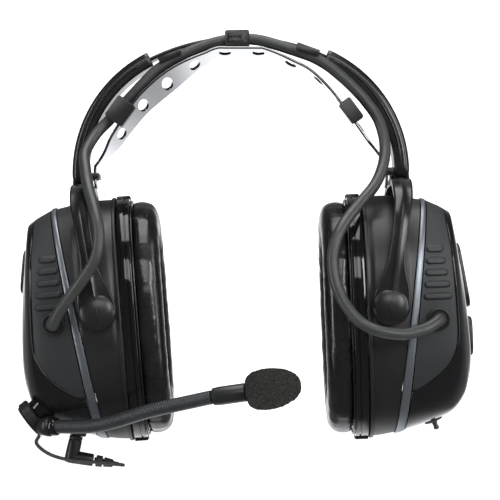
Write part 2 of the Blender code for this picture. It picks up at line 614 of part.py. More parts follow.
def cover_depth(u, w):
    """The cover's half width where its surface passes (u, w)."""
    for near, far in zip(COVER_STATIONS, COVER_STATIONS[1:]):
        at = []
        for (u_top, w_top), (u_low, w_low), half in (near, far):
            share = (w - w_low) / (w_top - w_low)
            rise = max(0.0, 1 - abs(2 * share - 1) ** OVAL_POWER)
            at.append((u_low + share * (u_top - u_low), half * rise ** (1 / OVAL_POWER)))
        if at[0][0] <= u <= at[1][0]:
            return at[0][1] + (at[1][1] - at[0][1]) * (u - at[0][0]) / (at[1][0] - at[0][0])
    return 0.0


def make_shell(name, side, frame):
    stations = [STRIPE_INNER, CUP_SHOULDER, CUP_FLANGE]
    rings = [cup_ring(side, s) for s in stations]
    rings += [cup_ring(side, s, SHELL_WALL) for s in stations[:0:-1]]
    rings.append(cup_ring(side, STRIPE_INNER, SHELL_WALL, -SHELL_WALL - 0.3))
    shell = finish(mesh_object(f"cup_shell_{name}", loft(rings)), BLACK_SATIN, frame)
    for end, turn in (("front", -1), ("back", 1)):
        start = PIN_START - 0.4
        profile = [(0, PIN_HOLE_END), (PIN_HOLE_RADIUS, PIN_HOLE_END), (PIN_HOLE_RADIUS, start), (0, start)]
        hole = turned(f"shell_{name}_{end}_hole", profile, (0, 0, 0), (0, turn, 0), 12)
        boolean(shell, as_cutter(hole, frame))


def make_accent(name, side, frame):
    """The metallic stripe between shell and cover: a flat band that stands slightly proud."""
    rings = [cup_ring(side, STRIPE_INNER, -STRIPE_RISE, GAP), cup_ring(side, STRIPE_OUTER, -STRIPE_RISE),
             cup_ring(side, STRIPE_OUTER, STRIPE_DEPTH), cup_ring(side, STRIPE_INNER, STRIPE_DEPTH, GAP)]
    finish(mesh_object(f"accent_ring_{name}", loft(rings, wrap=True)), ACCENT, frame)


def dome_mesh(name, side):
    """The whole outer dome, from which cover and faceplate are cut."""
    outer = [cup_ring(side, s) for s in COVER_STATIONS]
    inner = [cup_ring(side, COVER_STATIONS[0], COVER_WALL)]
    inner += [cup_ring(side, s, COVER_WALL * 0.8, -COVER_WALL) for s in COVER_STATIONS[1:]]
    return mesh_object(name, loft(inner[::-1] + outer))


def split_region(side, grow):
    """The part of the (u, w) plane that the cover takes, grown past its free edge."""
    outline = []
    for u, w in COVER_EDGE:
        outline.append((side * (u + grow * (u > 0)), w - grow * (w < 0)))
    return prism(outline, 60.0)


def rib_mesh(side):
    """Rounded grip ribs on the cover's front and back, each longer than the one above."""
    bm = bmesh.new()
    for face in (-1, 1):
        for k in range(RIB_COUNT):
            u, w = RIB_TOP_U + RIB_SHIFT * k, RIB_TOP_W - RIB_PITCH * k
            half = RIB_HALF_LENGTHS[0] + (RIB_HALF_LENGTHS[1] - RIB_HALF_LENGTHS[0]) * k / (RIB_COUNT - 1)
            made = bmesh.ops.create_uvsphere(bm, u_segments=6, v_segments=4, radius=1.0)["verts"]
            bmesh.ops.scale(bm, verts=made, vec=(half, RIB_RADIUS, RIB_RADIUS))
            bmesh.ops.translate(bm, verts=made, vec=(side * u, face * cover_depth(u, w), w))
    return bm


def button_outline(length, width):
    """A long round-ended outline, along w and y."""
    straight, radius = (length - width) / 2, width / 2
    points = []
    for end in (1, -1):
        for k in range(7):
            a = math.pi * k / 6
            points.append((end * radius * math.cos(a), end * (straight + radius * math.sin(a))))
    return points


def button_solid(side, spec, inset, low, high):
    """A button's body along its axis, or the slot that it slides in."""
    w, length, width, lean = spec
    a = math.radians(lean)
    axis, up = Vector((side * math.cos(a), 0, math.sin(a))), Vector((-side * math.sin(a), 0, math.cos(a)))
    centre = Vector((side * button_base(w), 0, w))
    levels = [(low, inset), (high, inset)]
    if inset >= 0:
        levels = [(low, inset), (high - 0.8, inset), (high, inset + 1.2)]
    rings = []
    for height, shrink in levels:
        across, along = (width - 2 * shrink) / width, (length - 2 * shrink) / length
        middle = centre + axis * height
        rings.append([middle + Vector((0, y * across, 0)) + up * (z * along)
                      for y, z in button_outline(length, width)])
    return loft(rings)


def button_base(w):
    """How far out the faceplate's middle line stands at a height w."""
    tops = [s[0] for s in COVER_STATIONS] + [s[1] for s in COVER_STATIONS[::-1]]
    for (u1, w1), (u2, w2) in zip(tops, tops[1:]):
        if w2 <= w <= w1:
            return u1 + (u2 - u1) * (w1 - w) / (w1 - w2)
    return COVER_STATIONS[-1][0][0]


def port_place(name):
    """A socket's mouth on the cup's underside, and the way it points."""
    u, y, w, lean = PORTS[name]
    side, a = SIDES[name], math.radians(lean)
    return Vector((side * u, y, w)), Vector((side * math.sin(a), 0, -math.cos(a)))


def make_outer(name, side, frame):
    """The soft-touch cover and the glossy faceplate that closes the cup."""
    cover = finish(dome_mesh(f"cover_{name}", side), SOFT_TOUCH, frame)
    region = mesh_object(f"cover_{name}_region", split_region(side, 0.0))
    boolean(cover, as_cutter(region, frame), "INTERSECT")
    boolean(cover, as_cutter(mesh_object(f"cover_{name}_ribs", rib_mesh(side)), frame), "UNION")
    plate = finish(dome_mesh(f"faceplate_{name}", side), BLACK_GLOSS, frame)
    boolean(plate, as_cutter(mesh_object(f"faceplate_{name}_region", split_region(side, GAP)), frame))
    for button, spec in BUTTONS[name].items():
        slot = mesh_object(f"{button}_slot", button_solid(side, spec, -0.4, -SLOT_REACH, SLOT_REACH))
        boolean(plate, as_cutter(slot, frame))
    mouth, down = port_place(name)
    profile = [(0, 4.0), (PORT_RADIUS + GAP, 4.0), (PORT_RADIUS + GAP, -9.0), (0, -9.0)]
    boolean(plate, as_cutter(turned(f"port_{name}_hole", profile, mouth, down, 14), frame))
    return plate


def make_buttons(name, side, frame):
    for button, spec in BUTTONS[name].items():
        solid = button_solid(side, spec, 0.0, -BUTTON_DEPTH, BUTTON_RISE)
        body = finish(mesh_object(button, solid), BLACK_SATIN, frame)
        origin = Vector((side * button_base(spec[0]), 0, spec[0])) * MM
        body.data.transform(Matrix.Translation(-origin))
        body.location = origin


def make_seal(name, side, frame):
    """The cushion plate with its snap tabs, and the cushion on it."""
    rings = [cup_ring(side, CUP_FLANGE, inset, shift) for inset, shift in (
        (0.0, -GAP), (0.0, -PLATE_THICK), (PLATE_OPENING, -PLATE_THICK), (PLATE_OPENING, -GAP))]
    plate = finish(mesh_object(f"cushion_plate_{name}", loft(rings, wrap=True)), BLACK_GLOSS, frame)
    u = sorted((side * (CUP_FLANGE[0][0] - GAP), side * (CUP_FLANGE[0][0] - PLATE_THICK)))
    for end, edge, way in (("top", CUP_FLANGE[0][1], 1), ("bottom", CUP_FLANGE[1][1], -1)):
        w = sorted((edge - way * 1.5, edge + way * TAB_RISE))
        tab = box_mesh((u[0], -TAB_WIDTH / 2, w[0]), (u[1], TAB_WIDTH / 2, w[1]))
        boolean(plate, as_cutter(mesh_object(f"plate_{name}_{end}_tab", tab), frame), "UNION")
    rings = [cup_ring(side, CUP_FLANGE, inset, shift - CUP_FLANGE[0][0])
             for shift, inset in CUSHION_PROFILE]
    finish(mesh_object(f"ear_cushion_{name}", loft(rings, wrap=True)), LEATHERETTE, frame)


def make_inner(name, side, frame):
    """What the cup holds: foam liner, loudspeaker and circuit board, and the right cup's battery."""
    rings = [cup_ring(side, CUP_FLANGE, inset, shift) for inset, shift in (
        (SHELL_WALL + 0.8, 0.6), (SHELL_WALL + 0.8, 5.0), (22.0, 5.0), (22.0, 0.6))]
    finish(mesh_object(f"foam_liner_{name}", loft(rings, wrap=True)), FOAM, frame)
    profile = [(0, 0.4), (12.0, 0.4), (12.0, -3.0), (17.0, -4.6), (17.0, -7.6), (13.0, -8.2), (0, -7.0)]
    speaker = turned(f"speaker_{name}", profile, (0, 0, -4.0), (side, 0, 0), 20)
    finish(speaker, BLACK_SATIN, frame)
    u = sorted((side * 20.0, side * 21.6))
    board = box_mesh((u[0], -21, -25), (u[1], 21, 25))
    finish(mesh_object(f"circuit_board_{name}", board), BOARD_GREEN, frame)
    if name == "right":
        u = sorted((side * 12.6, side * 19.4))
        finish(mesh_object("battery", box_mesh((u[0], -16, -28), (u[1], 16, -2))), CELL_WRAP, frame)


def make_gland(name, side, frame, cable_end):
    """A round gland on the cover's front, with a tapered sleeve that meets the cable."""
    u, w = GLANDS[name]
    centre = Vector((side * u, -cover_depth(u, w) - 1.2, w))
    profile = [(0, 6.2), (3.6, 6.0), (GLAND_RADIUS, 4.6), (GLAND_RADIUS, 0.0), (0, 0.0)]
    gland = turned(f"cable_gland_{name}", profile, centre, (0, -1, 0), 16)
    finish(gland, BLACK_SATIN, frame)
    root = frame.matrix_world @ ((centre + Vector((0, -3.1, 0))) * MM) / MM
    away = Vector(cable_end) - root
    reach = away.length - 0.9
    profile = [(0, reach), (2.7, reach), (3.2, reach * 0.35), (3.2, 1.0), (0, 1.0)]
    sleeve = turned(f"gland_sleeve_{name}", profile, root, away, 12)
    as_cutter(sleeve)
    hold(sleeve, frame)
    boolean(gland, sleeve, "UNION")


def make_cups(cups):
    ends = {"left": CABLE_LEFT_ROUTE[-1], "right": CABLE_RIGHT_ROUTE[-1]}
    plates = {}
    for name, side in SIDES.items():
        make_shell(name, side, cups[name])
        make_accent(name, side, cups[name])
        plates[name] = make_outer(name, side, cups[name])
        make_buttons(name, side, cups[name])
        make_seal(name, side, cups[name])
        make_inner(name, side, cups[name])
        make_gland(name, side, cups[name], ends[name])
    return plates


# ---------------------------------------------------------------- ports, boom microphone and lead

def make_ports(cups):
    """The microphone socket in the left cup, and the rubber cap that closes the right cup's."""
    profile = [(PORT_BORE, 1.0), (PORT_RADIUS, 1.0), (PORT_RADIUS, -7.0), (PORT_BORE, -7.0)]
    finish(turned("mic_socket", profile, *port_place("left"), 14), BLACK_SATIN, cups["left"])
    profile = [(0, 4.4), (1.0, 4.1), (1.2, 1.2), (2.6, 0.9), (PORT_RADIUS, 0.6), (PORT_RADIUS, -4.0),
               (0, -4.0)]
    finish(turned("socket_cap", profile, *port_place("right"), 14), RUBBER, cups["right"])


def make_plug(frame):
    """The right-angle plug: pin and head in line with the socket, arm and relief along the underside."""
    mouth, down = port_place("left")
    foot = PLUG_DROP + PLUG_ARM_RADIUS
    profile = [(0, foot), (PLUG_RADIUS - 0.6, foot), (PLUG_RADIUS, foot - 0.8), (PLUG_RADIUS, 1.4),
               (1.6, 1.4), (1.6, -5.0), (0, -5.0)]
    plug = finish(turned("mic_plug", profile, mouth, down, 14), BLACK_SATIN, frame)
    elbow = frame.matrix_world @ ((mouth + down * PLUG_DROP) * MM) / MM
    profile = [(0, PLUG_ARM_LENGTH), (PLUG_ARM_RADIUS - 0.2, PLUG_ARM_LENGTH), (PLUG_ARM_RADIUS, 0.0),
               (0, 0.0)]
    arm = turned("mic_plug_arm", profile, elbow, PLUG_ARM, 12)
    as_cutter(arm)
    hold(arm, frame)
    boolean(plug, arm, "UNION")
    relief = [(0, 10.7), (0.9, 10.6), (1.1, 8.2), (1.7, 7.9), (2.1, 4.3), (1.3, 4.1), (1.3, 3.6), (2.4, 3.4),
              (2.5, 0.8), (1.4, 0.6), (1.4, 0.0), (0, 0.0)]
    start = elbow + PLUG_ARM * (PLUG_ARM_LENGTH + GAP)
    hold(finish(turned("plug_relief", relief, start, PLUG_ARM, 12), RUBBER), frame)


def make_boom(plate, cups):
    """Hub on the cup's lower corner, gooseneck, microphone tube, capsule and windscreen."""
    base = HUB_BACK - GAP
    profile = [(0, base), (6.4, base), (7.2, BOSS_REACH), (0, BOSS_REACH)]
    boss = turned("boom_boss", profile, BOOM_PIVOT, BOOM_AXIS, 14)
    as_cutter(boss)
    hold(boss, cups["left"])
    boolean(plate, boss, "UNION")
    pivot = empty("boom_pivot", BOOM_PIVOT)
    hold(pivot, cups["left"])
    bpy.context.view_layer.update()
    make_hub(pivot)
    hold(tube("gooseneck", GOOSENECK_ROUTE, GOOSENECK_RADIUS, BLACK_SATIN, 3), pivot)
    make_microphone(pivot)


def make_hub(pivot):
    """The hub disc with the elbow that takes the gooseneck, and the disc's cap."""
    profile = [(0, HUB_FRONT), (HUB_RADIUS - 0.5, HUB_FRONT), (HUB_RADIUS, HUB_FRONT - 0.5),
               (HUB_RADIUS, HUB_BACK + 0.4), (HUB_RADIUS - 0.4, HUB_BACK), (0, HUB_BACK)]
    hub = finish(turned("boom_hub", profile, BOOM_PIVOT, BOOM_AXIS, 20), BLACK_SATIN)
    hold(hub, pivot)
    start = Vector(GOOSENECK_ROUTE[0])
    ahead = (Vector(GOOSENECK_ROUTE[1]) - start).normalized()
    profile = [(0, -GAP), (3.9, -GAP), (4.2, -3.0), (3.4, -5.0), (1.8, -7.2), (0, -7.2)]
    elbow = turned("boom_elbow", profile, start, ahead, 14)
    as_cutter(elbow)
    hold(elbow, pivot)
    boolean(hub, elbow, "UNION")
    base = HUB_FRONT + GAP
    profile = [(0, base + HUB_CAP_THICK), (HUB_CAP_RADIUS - 0.5, base + HUB_CAP_THICK),
               (HUB_CAP_RADIUS, base + 0.3), (HUB_CAP_RADIUS, base), (0, base)]
    cap = finish(turned("hub_cap", profile, BOOM_PIVOT, BOOM_AXIS, 20), BLACK_GLOSS)
    hold(cap, pivot)


def make_microphone(pivot):
    """Microphone tube, its capsule, and the bulb-shaped foam windscreen over them."""
    ahead = (FOAM_CENTRE - MIC_START).normalized()
    foam_base = FOAM_CENTRE - ahead * (FOAM_LENGTH / 2)
    reach = (foam_base - MIC_START).length
    profile = [(0, reach + STEM_REACH), (STEM_RADIUS, reach + STEM_REACH), (STEM_RADIUS, reach - 0.3),
               (MIC_RADIUS, reach - 0.6), (MIC_RADIUS, GAP + 0.4), (MIC_RADIUS - 0.3, GAP), (0, GAP)]
    hold(finish(turned("mic_tube", profile, MIC_START, ahead, 16), BLACK_SATIN), pivot)
    profile = [(0, 4.2), (STEM_RADIUS, 4.0), (STEM_RADIUS, 0.0), (0, 0.0)]
    capsule = turned("mic_capsule", profile, foam_base + ahead * (STEM_REACH + 0.4), ahead, 12)
    hold(finish(capsule, SPRING_STEEL), pivot)
    profile = []
    for k in range(9):
        a = math.pi * k / 8
        radius = FOAM_RADIUS * math.sin(a * FOAM_NECK) ** 0.8
        profile.append((radius, FOAM_LENGTH * (0.5 + 0.5 * math.cos(a))))
    bore, bore_end = STEM_RADIUS + 0.5, STEM_REACH + 6.4
    profile += [(bore, 0.0), (bore, bore_end), (0, bore_end)]
    hold(finish(turned("windscreen", profile, foam_base, ahead, 14), FOAM), pivot)


def make_cables(cups, arms):
    tube("cable_top", CABLE_TOP_ROUTE, CABLE_RADIUS, RUBBER)
    hold(tube("cable_left", CABLE_LEFT_ROUTE, CABLE_RADIUS, RUBBER), arms["left"])
    hold(tube("cable_right", CABLE_RIGHT_ROUTE, CABLE_RADIUS, RUBBER), arms["right"])
    hold(tube("mic_lead", LEAD_ROUTE, LEAD_RADIUS, RUBBER), cups["left"])


def main():
    arms, cups = make_frames()
    make_band()
    make_shoes()
    make_strap()
    make_band_clips()
    make_strap_clips()
    make_arms(arms)
    plates = make_cups(cups)
    make_ports(cups)
    make_plug(cups["left"])
    make_boom(plates["left"], cups)
    make_cables(cups, arms)


main()
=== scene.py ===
"""Looks of a two-cup headset with a boom microphone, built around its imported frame.

Shapes are worked out in millimetres and become metres in mesh_piece. Cup pieces use (u, y, w): u outward
from the cup's pivot, y front to back, w up along the cup. Cable routes are in metres in the row frame.
"""

import math

import bmesh
import bpy
from mathutils import Matrix, Vector, noise


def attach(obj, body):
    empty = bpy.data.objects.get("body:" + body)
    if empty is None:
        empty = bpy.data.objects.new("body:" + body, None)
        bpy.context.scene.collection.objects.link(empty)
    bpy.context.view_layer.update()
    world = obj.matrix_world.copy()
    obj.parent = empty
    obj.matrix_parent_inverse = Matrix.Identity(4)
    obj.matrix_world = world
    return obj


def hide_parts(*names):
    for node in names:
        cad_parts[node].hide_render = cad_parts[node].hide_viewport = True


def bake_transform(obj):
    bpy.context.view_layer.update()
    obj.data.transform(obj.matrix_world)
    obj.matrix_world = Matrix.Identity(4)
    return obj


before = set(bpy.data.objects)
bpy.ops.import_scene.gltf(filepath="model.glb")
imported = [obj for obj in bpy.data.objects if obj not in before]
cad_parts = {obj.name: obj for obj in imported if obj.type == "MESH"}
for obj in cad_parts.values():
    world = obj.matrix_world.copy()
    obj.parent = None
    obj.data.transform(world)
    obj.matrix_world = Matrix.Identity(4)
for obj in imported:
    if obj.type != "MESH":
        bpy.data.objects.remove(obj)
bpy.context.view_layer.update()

MM = 0.001
VIEW_TARGET, VIEW_RISE = Vector((0.0039, 0.0, -0.085)), math.radians(-1.5)
VIEW_DISTANCE, VIEW_WIDTH = 1.1, 0.215
SIDES = {"left": -1, "right": 1}
ENDS = {"front": -1, "back": 1}

# Headband and arms
SIDE_CENTRE_X, SIDE_CENTRE_Z = 14.6, -52.0
BAND_RADIUS, BAND_THICK, BAND_WIDTH = 54.3, 1.6, 12.0
BLEND_ANGLE, BAND_END_ANGLE = 27.0, 80.0
SHOE_GAP, SHOE_LENGTH, SHOE_HALF_THICK, SHOE_HALF_WIDTH = 0.35, 3.0, 1.3, 6.6
TOP_RADIUS = BAND_RADIUS + SIDE_CENTRE_X / math.sin(math.radians(BLEND_ANGLE))
TOP_CENTRE_Z = SIDE_CENTRE_Z - (TOP_RADIUS - BAND_RADIUS) * math.cos(math.radians(BLEND_ANGLE))
HOOD_INNER, HOOD_OUTER, HOOD_WIDTH, HOOD_WALL = 51.0, 57.5, 18.0, 1.6
HOOD_START, HOOD_END, HOOD_FOOT = 23.6, 92.0, 4.0
EXTENSION = {"left": 2.8, "right": 0.0}
CUP_LEAN = {"left": 4.4, "right": -2.2}
PIVOT_X, PIVOT_Z = 62.0, -109.2

# Comfort strap
STRAP_WIDTH, STRAP_THICK, STRAP_CROWN = 32.0, 1.2, 0.315
NARROW_START, NARROW_LENGTH = 73.0, 12.0
TONGUE_RADIUS, TONGUE_WIDTH, TONGUE_START, TONGUE_END = 47.3, 12.0, 87.0, 98.0
KEEPER_INNER, KEEPER_HALF, KEEPER_GAP, KEEPER_START, KEEPER_END = 46.1, 7.9, 0.45, 87.5, 90.5
STRAP_ROUTE = {
    "left": [(9.0, 0.0), (14.0, -2.2), (20.5, -5.7), (26.4, -9.6), (32.4, -14.1), (38.0, -18.9),
             (42.9, -23.8), (49.8, -33.0), (56.4, -42.8)],
    "right": [(9.0, 0.0), (20.8, -4.6), (30.0, -9.2), (39.6, -18.3), (48.5, -29.7), (57.5, -42.5)],
}
STRAP_TWIST = [
    (-60.0, 0.06), (-47.0, 0.12), (-40.0, 0.16), (-32.0, 0.18), (-26.0, 0.15), (-20.0, 0.08),
    (-14.0, 0.03), (-9.0, 0.0), (9.0, 0.0), (24.0, -0.02), (40.0, -0.06), (50.0, -0.1), (60.0, -0.1)]
HOLE_HALF_WIDTH, HOLE_HALF_LENGTH = 2.6, 10.0
STRAP_HOLES_X = [-51.2, -42.0, -31.6, -19.8, -6.9, 7.6, 21.4, 33.4, 42.6, 50.6]

# Clips on the band: name, x, half length, top and low edges, front edge, top of the part in front
BAND_CLIPS = [("centre_clip", -1.6, 5.2, 2.6, -4.2, -14.0, 2.6),
              ("cable_clip_left", -31.2, 5.1, 1.5, -4.1, -15.4, -1.7),
              ("cable_clip_right", 28.8, 5.1, 1.5, -2.3, -15.4, 0.5)]
# Clips on the strap: name, x, low and high edges, slot for the strap, back edge, whether it holds the cable
STRAP_CLIPS = [("strap_clip_left", -47.2, (0.5, 9.3), (1.0, 4.6), -9.7, True),
               ("strap_clip_right", 46.3, (-2.2, 3.5), (-1.8, 0.8), -11.9, False)]
STRAP_CLIP_HALF, STRAP_CLIP_FRONT, STRAP_SLOT_FRONT, STRAP_CABLE_Y = 5.3, -19.0, -17.0, -11.9
CLIP_BACK, CLIP_MARGIN, CLIP_SLOT_HALF, CLIP_CUT_BACK, CUT_REACH = 7.6, 0.3, 6.4, 4.9, 30

# Yokes
YOKE_HALF_WIDTH, YOKE_HEIGHT, YOKE_POWER, YOKE_TOP_U = 46.2, 53.2, 4.0, 5.6
YOKE_WIDTHS = [
    (-1.0, 16.0), (3.0, 15.9), (7.4, 14.4), (12.0, 10.3), (17.0, 7.7), (24.0, 6.6), (34.0, 6.8),
    (44.0, 7.8), (54.0, 8.8)]
DOME_RADIUS, DOME_FACE, DOME_TIP = 8.15, 43.7, 49.0

# Cups: outline stations from the flange outward, each (top point, bottom point, half width)
OVAL_POWER, CORNER_TIGHT, DOME_STEPS = 2.6, 0.28, 9
CUP_FLANGE = ((-9.4, 47.5), (-9.4, -55.2), 42.0)
CUP_SHOULDER = ((3.0, 47.4), (-4.0, -54.7), 41.6)
STRIPE_INNER = ((15.7, 45.4), (1.0, -53.9), 39.8)
STRIPE_OUTER = ((18.2, 45.0), (5.5, -53.1), 39.0)
COVER_STATIONS = [
    ((18.6, 44.9), (5.9, -53.0), 38.8),
    ((24.2, 42.2), (16.8, -49.8), 37.4),
    ((28.4, 39.6), (25.8, -46.2), 35.2),
    ((29.4, 34.5), (30.9, -40.8), 31.6),
    ((30.4, 27.5), (33.4, -35.0), 26.0),
    ((31.9, 19.0), (35.2, -26.0), 18.0),
    ((33.8, 7.0), (35.2, -14.0), 8.0),
]
COVER_EDGE = [
    (25.5, 60.0), (25.5, 34.0), (26.8, 20.0), (27.7, 0.0), (27.7, -15.0), (24.5, -24.0), (18.0, -30.5),
    (10.0, -35.0), (-6.0, -38.5)]
CUSHION_PROFILE = [
    (-15.8, 2.2), (-21.0, 1.7), (-25.0, 3.2), (-26.8, 6.9), (-26.8, 14.3), (-25.0, 18.0), (-21.0, 19.6),
    (-15.8, 19.6)]
PLATE_THICK, PLATE_OPENING, SHELL_WALL = 6.0, 20.0, 2.2
GLANDS, GLAND_RADIUS = {"left": (18.9, -4.1), "right": (20.0, -6.4)}, 4.7
RIB_TOP_U, RIB_TOP_W, RIB_PITCH, RIB_COUNT, RIB_HEIGHT = 19.8, 23.1, 4.95, 5, 1.15
RIB_SHIFT, RIB_HALF_LENGTHS = 0.1, (3.8, 6.2)
RIB_END, RIB_FOOT, RIB_MARGIN, RIB_BAND, RIB_SUNK, RIB_THICK = 1.6, 1.75, 0.4, 2.1, 0.12, 1.4
RIB_STEPS_ALONG, RIB_STEPS_ACROSS = 28, 14
PANEL_U, PANEL_W, PANEL_HEIGHT, PANEL_MIN_Y = (-7.2, 8.5), (-15.0, 38.0), 0.7, 30
PANEL_SOFT_U, PANEL_SOFT_W = 1.2, 1.5
TAB_INSIDE, TAB_OUTSIDE, TAB_HALF = 1.5, 1.1, 5.5
PAD_VOXEL, PAD_HELD_U, PAD_PRESSURE, PAD_SWELL, CLOTH_FRAMES = 2.2, -17.0, 4.0, 1.1, 20
PORTS = {"left": (14.5, -8.0, -50.6, 17.0), "right": (18.7, 0.0, -49.4, 20.0)}
PORT_RADIUS = 4.0
BUTTONS = {
    "left": {"button_left": (19.5, 18.8, 12.0, 9.0)},
    "right": {"button_right_upper": (12.2, 28.0, 12.0, 8.5), "button_right_lower": (-14.0, 17.0, 12.0, 0.0)},
}
BUTTON_RISE = 1.6

# Boom microphone
BOOM_PIVOT = Vector((-88.0, -18.0, -156.9))
BOOM_AXIS = Vector((-0.783, 0.0, -0.622)).normalized()
HUB_RADIUS, HUB_FRONT, HUB_BACK, HUB_CAP_RADIUS, HUB_CAP_THICK = 8.2, 1.2, -2.8, 7.4, 0.8
GOOSENECK_RADIUS, NECK_RIB_PITCH, NECK_RIB_HEIGHT = 2.95, 1.15, 0.2
GOOSENECK_ROUTE = [
    (-78.7, -28.0, -159.6), (-69.0, -34.0, -159.4), (-60.4, -39.5, -158.8), (-51.8, -44.5, -156.8),
    (-37.1, -52.0, -152.2), (-22.6, -57.5, -148.8), (-11.5, -61.0, -146.3)]
MIC_RADIUS, FOAM_RADIUS, FOAM_LENGTH = 3.8, 8.5, 22.2
MIC_START, FOAM_CENTRE = Vector((-11.2, -61.1, -146.2)), Vector((13.6, -66.0, -142.5))

# Cables, in metres in the row frame
CABLE_RADIUS, LEAD_RADIUS, CABLE_STEP = 0.0024, 0.00075, 0.001
CABLE_TOP_ROUTE = [
    (-0.0455, -0.0119, -0.0186), (-0.0415, -0.0119, -0.0143), (-0.0347, -0.0114, -0.0078),
    (-0.0245, -0.0102, -0.0018), (-0.0143, -0.0096, 0.0024), (-0.0068, -0.0095, 0.0043),
    (-0.001, -0.0095, 0.0049), (0.0065, -0.0095, 0.0046), (0.0141, -0.0096, 0.0028),
    (0.0243, -0.0102, -0.0006), (0.0311, -0.0112, -0.0032), (0.0379, -0.0119, -0.0073),
    (0.045, -0.012, -0.0132)]
CABLE_LEFT_ROUTE = [
    (-0.0459, -0.0119, -0.019), (-0.0516, -0.0119, -0.0252), (-0.0564, -0.012, -0.0304),
    (-0.0606, -0.0134, -0.0348), (-0.064, -0.017, -0.0402), (-0.0659, -0.022, -0.0458),
    (-0.0649, -0.0295, -0.0528), (-0.0632, -0.038, -0.0604), (-0.0606, -0.046, -0.0684),
    (-0.0584, -0.0512, -0.0764), (-0.0581, -0.0532, -0.084), (-0.0601, -0.0538, -0.0916),
    (-0.065, -0.0532, -0.0992), (-0.0696, -0.0506, -0.105), (-0.0732, -0.0472, -0.1096)]
CABLE_RIGHT_ROUTE = [
    (0.0455, -0.012, -0.0137), (0.0494, -0.0121, -0.0176), (0.0535, -0.0124, -0.0223),
    (0.0583, -0.0134, -0.0294), (0.0607, -0.016, -0.0375), (0.0609, -0.0196, -0.0451),
    (0.0593, -0.024, -0.052), (0.056, -0.029, -0.0588), (0.0504, -0.035, -0.0656),
    (0.0448, -0.041, -0.0723), (0.0407, -0.0455, -0.0788), (0.0382, -0.048, -0.0866),
    (0.038, -0.0494, -0.0943), (0.0397, -0.0506, -0.1018), (0.0434, -0.0522, -0.1094),
    (0.0494, -0.0544, -0.1161), (0.0568, -0.0556, -0.1196), (0.0668, -0.0534, -0.1209),
    (0.0736, -0.0496, -0.1194)]
LEAD_ROUTE = [
    (-0.0842, -0.0286, -0.1634), (-0.0856, -0.0265, -0.1664), (-0.0832, -0.0234, -0.1696),
    (-0.079, -0.0204, -0.1722), (-0.0736, -0.0176, -0.1739), (-0.0674, -0.0156, -0.1748),
    (-0.061, -0.0142, -0.1753), (-0.0554, -0.0128, -0.1758), (-0.051, -0.0108, -0.1765),
    (-0.05, -0.009, -0.1768), (-0.0509, -0.008, -0.1768)]
PLUG_DROP, PLUG_ARM_LENGTH = 10.5, 9.4
PLUG_ARM = Vector((0.987, 0.0, -0.161)).normalized()


# ---------------------------------------------------------------- camera

def make_camera():
    """The photograph's view: level with the cups, from straight in front, with a long lens."""
    data = bpy.data.cameras.new("camera")
    data.lens = data.sensor_width * VIEW_DISTANCE / VIEW_WIDTH
    camera = bpy.data.objects.new("camera", data)
    camera.location = VIEW_TARGET + VIEW_DISTANCE * Vector((0.0, -math.cos(VIEW_RISE), math.sin(VIEW_RISE)))
    camera.rotation_euler = (VIEW_TARGET - camera.location).to_track_quat("-Z", "Y").to_euler()
    bpy.context.scene.collection.objects.link(camera)
    bpy.context.scene.camera = camera


make_camera()


# ---------------------------------------------------------------- materials

